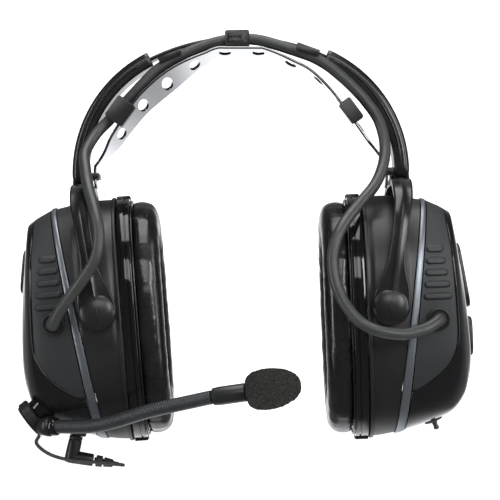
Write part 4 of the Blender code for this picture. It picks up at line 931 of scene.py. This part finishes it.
def make_dome(name, side, end, way, matrix):
    """A polished boss over the pivot pin, with a parting ridge down its middle."""
    centre, turn = matrix.translation, matrix.to_3x3() @ Vector((0, way, 0))
    brim, crown = DOME_FACE + 1.6, DOME_TIP - DOME_FACE - 1.6
    swell = [(DOME_RADIUS * math.cos(a), brim + crown * math.sin(a))
             for a in (math.radians(90 * k / 14) for k in range(15))]
    profile = [(0, 37.7), (2.0, 37.7), (2.4, 38.1), (2.4, DOME_FACE), (DOME_RADIUS - 0.4, DOME_FACE),
               (DOME_RADIUS, DOME_FACE + 0.4)] + swell
    dome = lathe(f"fork_{name}_{end}_dome", profile, centre, turn)
    place(dome, f"arm_{name}", SATIN, f"yoke_{name}")
    line = []
    for k in range(25):
        z = 11.0 - 17.0 * k / 24
        inside = max(0.0, 1 - (z / DOME_RADIUS) ** 2)
        depth = brim + crown * math.sqrt(inside) if z < 6.4 else 47.45
        line.append(matrix @ Vector((side * YOKE_TOP_U * max(0.0, z) / 44, way * max(depth, 46.6), z)))
    rows = tube_rows(line, lambda share: 0.2 * min(1.0, 5 * (1 - share) + 0.1), 10)
    place(lofted(f"fork_{name}_{end}_ridge", rows), f"arm_{name}", SHEEN, f"yoke_{name}")


def make_arms():
    for name, side in SIDES.items():
        make_hood(name, side)
        make_keeper(name, side)
        make_yoke(name, side)


# ---------------------------------------------------------------- cups

def cup_ring(side, station, inset=0.0, shift=0.0, count=144):
    """An oval ring of a cup station, pulled in by inset and moved along u by shift."""
    (u_top, w_top), (u_low, w_low), half = station
    middle = Vector(((u_top + u_low) / 2 + shift, 0, (w_top + w_low) / 2))
    reach = Vector(((u_top - u_low) / 2, 0, (w_top - w_low) / 2))
    reach *= 1 - inset / reach.length
    ring = []
    for k in range(count):
        angle = 2 * math.pi * (k + 0.5) / count
        across = math.copysign(abs(math.cos(angle)) ** (2 / OVAL_POWER), math.cos(angle))
        along = math.copysign(abs(math.sin(angle)) ** (2 / OVAL_POWER), math.sin(angle))
        point = middle + reach * along + Vector((0, (half - inset) * across, 0))
        ring.append(Vector((side * point.x, point.y, point.z)))
    return ring


def between(near, far, share):
    """A station part of the way from one to the next."""
    (a, b), (c, d), e = near
    (p, q), (r, s), t = far
    return ((a + (p - a) * share, b + (q - b) * share), (c + (r - c) * share, d + (s - d) * share),
            e + (t - e) * share)


def smooth_stations(stations, steps):
    """Stations along a Catmull-Rom curve through the given ones."""
    flat = [Vector((a, b, c, d, e)) for (a, b), (c, d), e in stations]
    flat = [2 * flat[0] - flat[1], *flat, 2 * flat[-1] - flat[-2]]
    made = []
    for a, b, c, d in zip(flat, flat[1:], flat[2:], flat[3:]):
        made += [catmull(a, b, c, d, k / steps) for k in range(steps)]
    made.append(flat[-2])
    return [((v[0], v[1]), (v[2], v[3]), v[4]) for v in made]


def filleted(points, steps):
    """Points along straight lines that are rounded a little at each corner, steps to a line."""
    made = []
    for i in range(len(points) - 1):
        a, b = Vector(points[i]), Vector(points[i + 1])
        before = Vector(points[max(i - 1, 0)])
        after = Vector(points[min(i + 2, len(points) - 1)])
        for k in range(steps):
            t = k / steps
            made.append(a.lerp(b, t).lerp(catmull(before, a, b, after, t), CORNER_TIGHT))
    return made + [Vector(points[-1])]


def dome_stations():
    """The dome's stations, close together: straight along the top line, smooth elsewhere."""
    tops = filleted([top for top, _, _ in COVER_STATIONS], DOME_STEPS)
    smooth = smooth_stations(COVER_STATIONS, DOME_STEPS)
    return [((top.x, top.y), low, half) for top, (_, low, half) in zip(tops, smooth)]


DOME_STATIONS = dome_stations()


def cover_depth(u, w):
    """The cover's half width where its surface passes (u, w)."""
    for near, far in zip(DOME_STATIONS, DOME_STATIONS[1:]):
        at = []
        for (u_top, w_top), (u_low, w_low), half in (near, far):
            share = (w - w_low) / (w_top - w_low)
            rise = max(0.0, 1 - abs(2 * share - 1) ** OVAL_POWER)
            at.append((u_low + share * (u_top - u_low), half * rise ** (1 / OVAL_POWER)))
        if at[0][0] <= u <= at[1][0]:
            return at[0][1] + (at[1][1] - at[0][1]) * (u - at[0][0]) / (at[1][0] - at[0][0])
    return 0.0


def rib_half(k):
    """Half of grip rib k's length: the ribs grow longer downward."""
    return RIB_HALF_LENGTHS[0] + (RIB_HALF_LENGTHS[1] - RIB_HALF_LENGTHS[0]) * k / (RIB_COUNT - 1)


def rib_height(k, u, w):
    """How far grip rib k stands out of the cover at (u, w): a flat top with rounded sides and ends."""
    along = max(0.0, abs(u - RIB_TOP_U - RIB_SHIFT * k) - rib_half(k) + RIB_END)
    away = math.hypot(along, w - (RIB_TOP_W - RIB_PITCH * k))
    return RIB_HEIGHT * eased(RIB_FOOT - away)


def make_ribs(name, side):
    """The grip ribs on the cover's front and back, as closed pads that sit in its surface."""
    matrix = cup_matrix(name)
    for end, way in ENDS.items():
        for k in range(RIB_COUNT):
            middle_u, middle_w = RIB_TOP_U + RIB_SHIFT * k, RIB_TOP_W - RIB_PITCH * k
            reach = rib_half(k) + RIB_MARGIN
            rows = []
            for step in range(RIB_STEPS_ALONG + 1):
                u = middle_u + reach * (2 * step / RIB_STEPS_ALONG - 1)
                front = []
                for across in range(RIB_STEPS_ACROSS + 1):
                    w = middle_w + RIB_BAND * (2 * across / RIB_STEPS_ACROSS - 1)
                    depth = cover_depth(u, w) + rib_height(k, u, w) - RIB_SUNK
                    front.append(Vector((side * u, way * depth, w)))
                rows.append(front + [p - Vector((0, way * RIB_THICK, 0)) for p in front[::-1]])
            rib = lofted(f"grip_rib_{name}_{end}_{k + 1}", moved(rows, matrix))
            place(rib, f"cup_{name}", SOFT, f"cover_{name}")


def dome_rows(side):
    """The cup's outer dome as a thin closed shell: inner rings reversed, then outer rings and a crown."""
    outer = [cup_ring(side, s) for s in DOME_STATIONS]
    centre = Vector((side * 35.2, 0, -3.5))
    crown = [[centre.lerp(p, share) for p in outer[-1]] for share in (0.75, 0.5, 0.25, 0.04)]
    inner = [cup_ring(side, DOME_STATIONS[0], 1.8)]
    inner += [cup_ring(side, s, 1.5, -1.8) for s in DOME_STATIONS[DOME_STEPS::DOME_STEPS]]
    inner.append([p + Vector((side * -1.8, 0, 0)) for p in crown[-1]])
    return inner[::-1], outer + crown


def edge_curve(spacing=0.8):
    """The line between cover and faceplate, as points (u, w)."""
    line = smooth_route([(u, 0.0, w) for u, w in COVER_EDGE[1:]], spacing)
    return [COVER_EDGE[0]] + [(p.x, p.z) for p in line]


def region(side, grow):
    """The part of the (u, w) plane that the cover takes, as a prism across the cup."""
    outline = [(u + grow, w - grow * (w < 10)) for u, w in edge_curve(1.6)] + [(-6.0, 60.0)]
    return [[Vector((side * u, y, w)) for u, w in outline] for y in (-60.0, 60.0)]


def button_base(w):
    """How far out the faceplate's middle line stands at a height w."""
    tops = [s[0] for s in COVER_STATIONS] + [s[1] for s in COVER_STATIONS[::-1]]
    for (u1, w1), (u2, w2) in zip(tops, tops[1:]):
        if w2 <= w <= w1:
            return u1 + (u2 - u1) * (w1 - w) / (w1 - w2)
    return COVER_STATIONS[-1][0][0]


def button_rows(side, spec, levels):
    """Rings of a long button: levels are (height along its axis, inset of its outline)."""
    w, length, width, lean = spec
    a = math.radians(lean)
    axis, up = Vector((side * math.cos(a), 0, math.sin(a))), Vector((-side * math.sin(a), 0, math.cos(a)))
    centre = Vector((side * button_base(w), 0, w))
    rows = []
    for height, inset in levels:
        radius, straight = width / 2 - inset, (length - width) / 2
        ring = []
        for end in (1, -1):
            for k in range(17):
                turn = math.pi * k / 16
                ring.append(centre + axis * height + Vector((0, end * radius * math.cos(turn), 0))
                            + up * end * (straight + radius * math.sin(turn)))
        rows.append(ring)
    return rows


def port_place(name):
    """A socket's mouth on the cup's underside and the way it points, in the cup's frame."""
    u, y, w, lean = PORTS[name]
    side, a = SIDES[name], math.radians(lean)
    return Vector((side * u, y, w)), Vector((side * math.sin(a), 0, -math.cos(a)))


def cup_point(name, point):
    """A point in the cup's frame, in the row frame."""
    return cup_matrix(name) @ Vector(point)


def cup_way(name, vector):
    """A direction in the cup's frame, in the row frame."""
    return cup_matrix(name).to_3x3() @ Vector(vector)


def make_shell(name, side):
    """The half cup behind the stripe: grained wall, a raised panel behind the fork, a rolled flange."""
    def raised(point):
        u = side * point.x
        across = eased((u - PANEL_U[0]) / PANEL_SOFT_U) * eased((PANEL_U[1] - u) / PANEL_SOFT_U)
        low, high = point.z - PANEL_W[0], PANEL_W[1] - point.z
        along = eased(high / PANEL_SOFT_W) * eased(low / PANEL_SOFT_W)
        height = PANEL_HEIGHT * across * along if abs(point.y) > PANEL_MIN_Y else 0.0
        return point + Vector((0, math.copysign(height, point.y), 0))

    stations = smooth_stations([STRIPE_INNER, CUP_SHOULDER, CUP_FLANGE], 12)
    outer = [[raised(p) for p in cup_ring(side, s)] for s in stations]
    rolled = ((-0.5, 1.5), (-0.75, 0.9), (-0.75, 0.35), (-0.4, 0.0))
    lip = [cup_ring(side, CUP_FLANGE, inset, shift) for inset, shift in rolled]
    inner = [cup_ring(side, CUP_FLANGE, SHELL_WALL), cup_ring(side, CUP_SHOULDER, SHELL_WALL),
             cup_ring(side, STRIPE_INNER, SHELL_WALL, -2.5)]
    rows = moved(outer[:-1] + lip + inner, cup_matrix(name))
    place(lofted(f"shell_{name}", rows), f"cup_{name}", GRAIN, f"cup_shell_{name}")


def make_accent(name, side):
    """The metallic stripe between shell and cover: flat across, with rolled edges."""
    profile = [(0.0, 0.25), (0.04, -0.3), (0.13, -0.5), (0.3, -0.56), (0.5, -0.58), (0.7, -0.56),
               (0.87, -0.5), (0.96, -0.3), (1.0, 0.25), (1.0, 2.6), (0.0, 2.6)]
    rows = [cup_ring(side, between(STRIPE_INNER, STRIPE_OUTER, share), inset, 0.3 * (1 - share))
            for share, inset in profile]
    stripe = lofted(f"stripe_{name}", moved(rows, cup_matrix(name)), wrap=True)
    place(stripe, f"cup_{name}", ACCENT, f"accent_ring_{name}")


def make_outer(name, side):
    """Soft-touch cover with its ribs, glossy faceplate and the polished bead between them."""
    matrix, body = cup_matrix(name), f"cup_{name}"
    inner, outer = dome_rows(side)
    cover = lofted(f"cup_cover_{name}", inner + outer)
    carved(cover, lofted("region", region(side, 0.0)), "INTERSECT")
    transformed(cover, matrix)
    place(cover, body, SOFT, f"cover_{name}")
    make_ribs(name, side)
    plate = lofted(f"cup_face_{name}", inner + outer)
    carved(plate, lofted("region", region(side, 0.3)))
    for spec in BUTTONS[name].values():
        carved(plate, lofted("slot", button_rows(side, spec, ((-6.0, -0.4), (6.0, -0.4)))))
    mouth, down = port_place(name)
    bore = PORT_RADIUS + 0.3
    carved(plate, lathe("port", [(0, 4.0), (bore, 4.0), (bore, -9.0), (0, -9.0)], mouth, down))
    transformed(plate, matrix)
    place(plate, body, GLOSS, f"faceplate_{name}")
    for end, way in ENDS.items():
        line = [matrix @ Vector((side * (u + 0.5), way * (cover_depth(u, w) - 0.2), w))
                for u, w in edge_curve(0.8)[1:] if cover_depth(u, w) > 6 and w > -37.0]
        rows = tube_rows(line, lambda share: 0.55 * min(1.0, 14 * min(share, 1 - share) + 0.15), 14)
        place(lofted(f"face_bead_{name}_{end}", rows), body, GLOSS, f"faceplate_{name}")


def make_buttons(name, side):
    """Long push buttons with a dished, grooved top."""
    levels = [(-3.4, 0.0), (0.6, 0.0), (1.15, 0.15), (1.45, 0.5), (BUTTON_RISE, 1.1), (1.5, 1.9), (1.2, 3.4),
              (1.1, 4.6)]
    for button, spec in BUTTONS[name].items():
        rows = moved(button_rows(side, spec, levels), cup_matrix(name))
        place(lofted(f"{button}_cap", rows), button, SATIN, button, 0.12, 60.0)


def make_plate(name, side):
    """The cushion's carrier ring, with a stepped rim and a snap tab at top and bottom."""
    body, node, matrix = f"cup_{name}", f"cushion_plate_{name}", cup_matrix(name)
    profile = [(0.7, -0.4), (0.2, -0.5), (0.0, -0.8), (0.0, -3.6), (0.45, -3.8), (0.45, -4.1), (0.0, -4.3),
               (0.0, -5.6), (0.2, -5.85), (0.7, -PLATE_THICK), (PLATE_OPENING, -PLATE_THICK),
               (PLATE_OPENING, -0.4)]
    rows = [cup_ring(side, CUP_FLANGE, inset, shift) for inset, shift in profile]
    place(lofted(f"seal_ring_{name}", moved(rows, matrix), wrap=True), body, GLOSS, node)
    u = sorted((side * (CUP_FLANGE[0][0] - 0.3), side * (CUP_FLANGE[0][0] - PLATE_THICK)))
    for end, edge, way in (("top", CUP_FLANGE[0][1], 1), ("bottom", CUP_FLANGE[1][1], -1)):
        low, high = sorted((edge - way * TAB_INSIDE, edge + way * TAB_OUTSIDE))
        outline = rounded_rect((u[0], low), (u[1], high), [0.5] * 4)
        tab = [[Vector((x, y, z)) for x, z in outline] for y in (-TAB_HALF, TAB_HALF)]
        place(lofted(f"snap_tab_{name}_{end}", moved(tab, matrix)), body, SATIN, node, 0.35)


def cushion_base(side):
    """The ear cushion before it is inflated: a plump ring, a little smaller than its solid."""
    profile = smooth_route([(s, 0.0, i) for s, i in CUSHION_PROFILE], 1.6)
    return [cup_ring(side, CUP_FLANGE, p.z, p.x - CUP_FLANGE[0][0], 120) for p in profile]


def inflate(obj, side, matrix):
    """Puffs the cushion up with a cloth simulation held at the plate, and caps how far it swells."""
    remesh = obj.modifiers.new("voxels", "REMESH")
    remesh.mode = "VOXEL"
    remesh.voxel_size = PAD_VOXEL * MM
    applied(obj)
    inverse = matrix.inverted()
    rest = [v.co.copy() for v in obj.data.vertices]
    group = obj.vertex_groups.new(name="held")
    held = [v.index for v in obj.data.vertices if side * (inverse @ (v.co / MM)).x > PAD_HELD_U]
    group.add(held, 1.0, "REPLACE")
    cloth = obj.modifiers.new("cloth", "CLOTH")
    cloth.settings.use_pressure = True
    cloth.settings.uniform_pressure_force = PAD_PRESSURE
    cloth.settings.effector_weights.gravity = 0.0
    cloth.settings.vertex_group_mass = "held"
    cloth.point_cache.frame_start = 1
    cloth.point_cache.frame_end = CLOTH_FRAMES
    for step in range(1, CLOTH_FRAMES + 1):
        bpy.context.scene.frame_set(step)
    bpy.context.view_layer.update()
    swollen = obj.evaluated_get(bpy.context.evaluated_depsgraph_get()).data
    moves = [a.co - b for a, b in zip(swollen.vertices, rest)]
    obj.modifiers.clear()
    obj.vertex_groups.clear()
    cap = PAD_SWELL * MM
    for vertex, start, move in zip(obj.data.vertices, rest, moves):
        vertex.co = start + (move * (cap / move.length) if move.length > cap else move)
    bpy.context.scene.frame_set(1)


def creased(obj, side, matrix):
    """Slow puckers that radiate from the cushion's inner and outer seams."""
    inverse = matrix.inverted()
    for vertex in obj.data.vertices:
        local = inverse @ (vertex.co / MM)
        around = math.atan2(local.z + 4.0, local.y)
        height = (-side * local.x - 16.0) / 11.0
        wave = noise.noise(Vector((9.0 * math.cos(around), 9.0 * math.sin(around), side * 3.0)))
        fold = noise.noise(Vector((26.0 * math.cos(around), 26.0 * math.sin(around), 7.0 + side)))
        vertex.co += vertex.normal * MM * (0.22 * wave + 0.13 * fold * max(0.0, 1 - height))


def make_cushion(name, side):
    """The leatherette ear cushion with a welted seam at its carrier and one round its inner edge."""
    matrix, body, node = cup_matrix(name), f"cup_{name}", f"ear_cushion_{name}"
    cushion = lofted(f"ear_pad_{name}", moved(cushion_base(side), matrix), wrap=True)
    inflate(cushion, side, matrix)
    smooth = cushion.modifiers.new("smooth", "SMOOTH")
    smooth.iterations = 4
    smooth.factor = 0.5
    subdivision = cushion.modifiers.new("subdivision", "SUBSURF")
    subdivision.levels = subdivision.render_levels = 1
    applied(cushion)
    creased(cushion, side, matrix)
    place(cushion, body, LEATHER, node)
    cushion.data.shade_smooth()
    for label, inset, shift, radius in (("outer", 1.4, -15.9, 0.45), ("inner", 19.9, -16.3, 0.6)):
        ring = [matrix @ p for p in cup_ring(side, CUP_FLANGE, inset, shift - CUP_FLANGE[0][0], 180)]
        rows = []
        for i, point in enumerate(ring):
            ahead = (ring[(i + 1) % len(ring)] - ring[i - 1]).normalized()
            out = cup_way(name, (1, 0, 0))
            across = ahead.cross(out).normalized()
            rows.append([point + radius * (math.cos(a) * out + math.sin(a) * across) for a in turns(12)])
        place(lofted(f"pad_welt_{name}_{label}", rows, wrap=True), body, LEATHER, node)


def make_inner(name, side):
    """What shows inside the cup: cloth over the liner, and the loudspeaker's slotted front."""
    matrix, body = cup_matrix(name), f"cup_{name}"
    profile = [(3.2, 1.0), (3.0, 3.0), (3.2, 5.0), (10.0, 5.6), (21.0, 5.0), (22.0, 4.0), (22.0, 1.2),
               (10.0, 0.9)]
    rows = [cup_ring(side, CUP_FLANGE, inset, shift) for inset, shift in profile]
    place(lofted(f"liner_{name}", moved(rows, matrix), wrap=True), body, CLOTH, f"foam_liner_{name}", 0.5)
    face = [(16.6, -7.7), (15.6, -8.1), (14.0, -8.15)]
    for k in range(6):
        radius = 12.4 - 2.0 * k
        face += [(radius, -8.0), (radius - 0.35, -7.3), (radius - 1.1, -7.3), (radius - 1.45, -8.0)]
    profile = [(0, 0.4), (11.6, 0.4), (12.0, 0.1), (12.0, -3.0), (16.6, -4.5), (17.0, -5.0), *face, (0, -8.0)]
    centre, axis = cup_point(name, (0, 0, -4.0)), cup_way(name, (side, 0, 0))
    place(lathe(f"driver_{name}", profile, centre, axis), body, SATIN, f"speaker_{name}")


def make_gland(name, side, route):
    """The cable's entry: a stepped ring let into the cover, a hooded boss and a smooth tapering sleeve."""
    body, node = f"cup_{name}", f"cable_gland_{name}"
    u, w = GLANDS[name]
    centre = cup_point(name, (side * u, -cover_depth(u, w) - 1.2, w))
    axis = cup_way(name, (0, -1, 0))
    rim = GLAND_RADIUS
    ring = [(0, -0.6), (rim, -0.6), (rim, 1.1), (rim - 0.3, 1.5), (rim - 0.7, 1.5), (rim - 0.8, 1.0),
            (rim - 1.2, 0.9), (3.3, 0.9), (3.2, 1.7), (2.9, 3.1), (2.3, 4.2), (1.4, 4.9), (0, 5.1)]
    place(lathe(f"gland_ring_{name}", ring, centre, axis), body, SATIN, node, 0.15, 45.0)
    root, end = centre + axis * 2.3, Vector(route[-1]) / MM
    run = (end - Vector(route[-2]) / MM).normalized()
    reach = (end - root).length
    first, second = root + axis * reach * 0.15, end + run * reach * 0.4
    line = []
    for k in range(25):
        t = k / 24
        line.append((1 - t) ** 3 * root + 3 * t * (1 - t) ** 2 * first
                    + 3 * t * t * (1 - t) * second + t ** 3 * end)
    line = [root - axis * 1.6] + line + [end - run * 0.4]
    rows = tube_rows(line, lambda share: 2.85 - 0.4 * eased(share * 1.3), 32)
    place(lofted(f"gland_sleeve_{name}", rows), body, RUBBER, node)


def make_cups():
    routes = {"left": CABLE_LEFT_ROUTE, "right": CABLE_RIGHT_ROUTE}
    for name, side in SIDES.items():
        make_shell(name, side)
        make_accent(name, side)
        make_outer(name, side)
        make_buttons(name, side)
        make_plate(name, side)
        make_cushion(name, side)
        make_inner(name, side)
        make_gland(name, side, routes[name])


# ---------------------------------------------------------------- ports, plug and boom

def make_ports():
    """The microphone socket's sleeve and the rubber cap on the other cup's socket."""
    mouth, down = port_place("left")
    profile = [(1.9, 1.0), (3.4, 1.2), (PORT_RADIUS, 0.8), (PORT_RADIUS, -7.0), (1.9, -7.0)]
    place(lathe("jack_sleeve", profile, cup_point("left", mouth), cup_way("left", down)), "cup_left", SATIN,
          "mic_socket", 0.2)
    mouth, down = port_place("right")
    profile = [(0, -4.0), (PORT_RADIUS, -4.0), (PORT_RADIUS, 0.3), (3.6, 0.7), (2.6, 0.9), (1.3, 1.1),
               (1.05, 1.6), (0.95, 2.9), (1.15, 3.3), (1.1, 4.0), (0.7, 4.3), (0, 4.4)]
    place(lathe("jack_cap", profile, cup_point("right", mouth), cup_way("right", down)), "cup_right", RUBBER,
          "socket_cap", 0.15)


def make_plug():
    """The right-angle plug: head in the socket, arm along the underside and a segmented relief."""
    mouth, down = port_place("left")
    centre, axis = cup_point("left", mouth), cup_way("left", down)
    profile = [(0, -5.0), (1.2, -5.0), (1.6, -4.4), (1.6, 1.4), (2.6, 1.4), (2.85, 1.7), (2.85, 2.8),
               (2.7, 2.95), (2.7, 3.25), (2.85, 3.4), (2.95, 9.0), (2.9, 11.9), (2.55, 12.9), (1.7, 13.2),
               (0, 13.25)]
    place(lathe("plug_head", profile, centre, axis), "cup_left", SATIN, "mic_plug", 0.15)
    elbow = centre + axis * PLUG_DROP
    arm = [(0, -2.4), (1.8, -2.2), (2.6, -1.2), (2.8, 0.0), (2.75, 4.5), (2.65, 8.9), (2.4, 9.3), (0, 9.35)]
    place(lathe("plug_arm", arm, elbow, PLUG_ARM), "cup_left", SATIN, "mic_plug", 0.15)
    relief = [(0, 0.0), (1.4, 0.0), (1.4, 0.7), (2.4, 0.8), (2.5, 1.1), (2.4, 3.3), (2.2, 3.5), (1.3, 3.6),
              (1.3, 4.1), (2.0, 4.2), (2.1, 4.5), (1.7, 7.8), (1.4, 8.1), (1.05, 8.3), (0.9, 10.5),
              (0.7, 10.7), (0, 10.7)]
    boot = elbow + PLUG_ARM * (PLUG_ARM_LENGTH + 0.3)
    place(lathe("plug_boot", relief, boot, PLUG_ARM), "cup_left", RUBBER, "plug_relief", 0.1)


def make_hub():
    """Boom hub: a thick disc seen on edge, elbow into the gooseneck, cap, and the boss on the cup."""
    base = HUB_BACK - 0.3
    boss = [(0, base), (6.0, base), (6.4, base - 0.4), (7.2, -14.5), (0, -14.5)]
    place(lathe("boom_boss", boss, BOOM_PIVOT, BOOM_AXIS), "cup_left", GLOSS, "faceplate_left", 0.2)
    rim = HUB_RADIUS
    profile = [(0, HUB_BACK), (rim - 0.35, HUB_BACK), (rim, HUB_BACK + 0.3), (rim, -0.6), (rim - 0.12, -0.5),
               (rim - 0.12, -0.3), (rim, -0.2), (rim, HUB_FRONT - 0.3), (rim - 0.3, HUB_FRONT),
               (0, HUB_FRONT)]
    place(lathe("hub_disc", profile, BOOM_PIVOT, BOOM_AXIS, 96), "boom", SATIN, "boom_hub")
    start = Vector(GOOSENECK_ROUTE[0])
    ahead = (Vector(GOOSENECK_ROUTE[1]) - start).normalized()
    elbow = [(0, -7.2), (1.8, -7.2), (3.4, -5.2), (4.1, -3.0), (4.2, -2.2), (4.2, -0.9), (3.9, -0.45),
             (3.3, -0.1), (0, -0.1)]
    place(lathe("hub_elbow", elbow, start, ahead), "boom", SATIN, "boom_hub")
    collar = [(3.0, 0.0), (3.7, -0.2), (3.9, 0.3), (3.8, 2.2), (3.4, 2.7), (3.0, 2.6)]
    place(lathe("neck_collar", collar, start, ahead), "boom", GLOSS, "boom_hub")
    base, radius = HUB_FRONT + 0.2, HUB_CAP_RADIUS
    cap = [(0, base), (radius, base), (radius, base + 0.3), (radius - 0.5, base + HUB_CAP_THICK),
           (radius - 1.6, base + HUB_CAP_THICK), (radius - 1.9, base + 0.6), (0, base + 0.6)]
    place(lathe("hub_button", cap, BOOM_PIVOT, BOOM_AXIS), "boom", SATIN, "hub_cap", 0.1)


def make_gooseneck():
    """The boom's flexible arm: a finely ribbed jacket that bends between the hub and the microphone."""
    points = smooth_route(GOOSENECK_ROUTE, 0.26)
    length = route_length(points)

    def radius(share):
        rib = 0.5 + 0.5 * math.cos(2 * math.pi * share * length / NECK_RIB_PITCH)
        return GOOSENECK_RADIUS - NECK_RIB_HEIGHT + NECK_RIB_HEIGHT * rib ** 0.6

    neck = lofted("neck_jacket", tube_rows(points, radius, 32))
    neck.data.materials.append(NECK_RUBBER)
    smooth_faces(neck, 70.0)
    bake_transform(neck)
    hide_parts("gooseneck")


def make_microphone():
    """Microphone tube with a stepped collar, the capsule, and the foam windscreen."""
    ahead = (FOAM_CENTRE - MIC_START).normalized()
    foam_base = FOAM_CENTRE - ahead * (FOAM_LENGTH / 2)
    reach = (foam_base - MIC_START).length
    profile = [(0, 0.2), (3.3, 0.2), (3.6, 0.45), (3.65, 1.5), (MIC_RADIUS, 3.0), (MIC_RADIUS, reach - 0.8),
               (3.4, reach - 0.3), (2.9, reach - 0.2), (2.9, reach + 7.0), (0, reach + 7.0)]
    place(lathe("mic_barrel", profile, MIC_START, ahead), "microphone", SATIN, "mic_tube", 0.12)
    capsule = [(0, 0.0), (2.7, 0.0), (2.9, 0.2), (2.9, 3.9), (2.6, 4.2), (0, 4.2)]
    place(lathe("mic_element", capsule, foam_base + ahead * 7.4, ahead), "microphone", STEEL, "mic_capsule")
    profile = [(0, 13.4), (3.4, 13.4), (3.4, 0.0), (3.8, -0.1)]
    for k in range(57):
        a = math.pi * 0.86 * (1 - k / 56)
        height = FOAM_LENGTH * (0.5 + 0.5 * math.cos(a / 0.86))
        profile.append((FOAM_RADIUS * max(0.0, math.sin(a)) ** 0.8, height))
    foam = lathe("foam_windscreen", profile, foam_base, ahead, 110)
    for vertex in foam.data.vertices:
        local = vertex.co / MM
        along = (local - foam_base).dot(ahead)
        if along > 0.3 and (local - (foam_base + ahead * along)).length > 3.6:
            pores = noise.cell(local * 1.15) - 0.5
            soft = noise.noise(local * 0.9)
            vertex.co += vertex.normal * MM * (0.16 * pores + 0.22 * soft - 0.1)
    place(foam, "microphone", FOAM, "windscreen")
    foam.data.shade_smooth()


make_band()
make_shoes()
make_strap()
make_band_clips()
make_strap_clips()
make_arms()
make_cups()
make_ports()
make_plug()
make_hub()
make_gooseneck()
make_microphone()


# ---------------------------------------------------------------- carried-over nodes

def paint_nodes():
    """Finishes for the parts that stay as they are, inside the cups."""
    for node, material in (("circuit_board_left", BOARD), ("circuit_board_right", BOARD), ("battery", CELL)):
        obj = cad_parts[node]
        obj.data.materials.clear()
        obj.data.materials.append(material)


paint_nodes()


# ---------------------------------------------------------------- studio

WORLD_BACK, WORLD_TOP, WORLD_SIDE = (0.1, 0.6), (0.02, 0.3), (0.15, 0.42)
WORLD_SWEEP, WORLD_ABOVE, WORLD_EDGE, WORLD_ROOM = 1.25, 0.12, 0.1, 0.08
LIT_MIDDLE = Vector((0.0, 0.0, -0.09))


def softbox(name, location, size, power):
    """A rectangular light that faces the object's middle."""
    data = bpy.data.lights.new(name, "AREA")
    data.shape = "RECTANGLE"
    data.size, data.size_y = size
    data.energy = power
    light = bpy.data.objects.new(name, data)
    light.location = location
    light.rotation_euler = (LIT_MIDDLE - light.location).to_track_quat("-Z", "Y").to_euler()
    bpy.context.scene.collection.objects.link(light)


def make_world():
    """A white sweep behind and below the object, a dark room above it and a dim one in front."""
    world = bpy.data.worlds.new("studio")
    world.use_nodes = True
    bpy.context.scene.world = world
    tree = world.node_tree
    back = tree.nodes["Background"]
    way = tree.nodes.new("ShaderNodeTexCoord")
    split = tree.nodes.new("ShaderNodeSeparateXYZ")
    tree.links.new(way.outputs["Generated"], split.inputs["Vector"])

    def ramp(source, start, end, low, high):
        made = tree.nodes.new("ShaderNodeMapRange")
        made.interpolation_type = "SMOOTHSTEP"
        for name, value in (("From Min", start), ("From Max", end), ("To Min", low), ("To Max", high)):
            made.inputs[name].default_value = value
        tree.links.new(source, made.inputs["Value"])
        return made.outputs["Result"]

    def maths(operation, first, second=0.0, third=0.0):
        made = tree.nodes.new("ShaderNodeMath")
        made.operation = operation
        for place_in, value in enumerate((first, second, third)):
            if isinstance(value, bpy.types.NodeSocket):
                tree.links.new(value, made.inputs[place_in])
            else:
                made.inputs[place_in].default_value = value
        return made.outputs[0]

    behind = ramp(split.outputs["Y"], WORLD_BACK[0], WORLD_BACK[1], 0.0, WORLD_SWEEP)
    below = ramp(split.outputs["Z"], WORLD_TOP[0], WORLD_TOP[1], 1.0, WORLD_ABOVE)
    across = ramp(maths("ABSOLUTE", split.outputs["X"]), WORLD_SIDE[0], WORLD_SIDE[1], 1.0, WORLD_EDGE)
    strength = maths("MULTIPLY_ADD", maths("MULTIPLY", behind, below), across, WORLD_ROOM)
    tree.links.new(strength, back.inputs["Strength"])
    back.inputs["Color"].default_value = (0.97, 0.98, 1.0, 1.0)


def glowing_paper(name, strength):
    """White paper that glows evenly."""
    material = bpy.data.materials.new(name)
    material.use_nodes = True
    shader = material.node_tree.nodes["Principled BSDF"]
    shader.inputs["Base Color"].default_value = (0.9, 0.9, 0.9, 1.0)
    shader.inputs["Emission Color"].default_value = (1.0, 1.0, 1.0, 1.0)
    shader.inputs["Emission Strength"].default_value = strength
    return material


def make_stage():
    """A pale floor well below the hanging object, and a white surround that only the camera sees."""
    bpy.ops.mesh.primitive_circle_add(vertices=96, radius=9.0, fill_type="NGON", location=(0.0, 0.0, -0.5))
    floor = bpy.context.object
    floor.name = "floor"
    floor.data.materials.append(glowing_paper("floor_paper", 0.97))
    floor.visible_glossy = False
    bpy.ops.mesh.primitive_uv_sphere_add(segments=48, ring_count=24, radius=8.5)
    surround = bpy.context.object
    surround.name = "surround"
    surround.data.materials.append(glowing_paper("surround_paper", 1.0))
    for ray in ("diffuse", "glossy", "transmission", "shadow", "volume_scatter"):
        setattr(surround, f"visible_{ray}", False)


SOFTBOXES = [("overhead", (0.0, -0.12, 0.9), (0.8, 1.2), 12.5),
             ("left_strip", (-0.95, -0.42, 0.05), (0.16, 1.1), 4.5),
             ("right_strip", (0.98, -0.3, 0.15), (0.3, 0.9), 4.0),
             ("right_window", (0.8, -1.0, 0.3), (0.3, 0.55), 6.5),
             ("front_fill", (0.1, -1.9, 0.75), (1.2, 0.6), 10.0)]

make_world()
make_stage()
for box in SOFTBOXES:
    softbox(*box)
bpy.context.scene.view_settings.view_transform = "Standard"
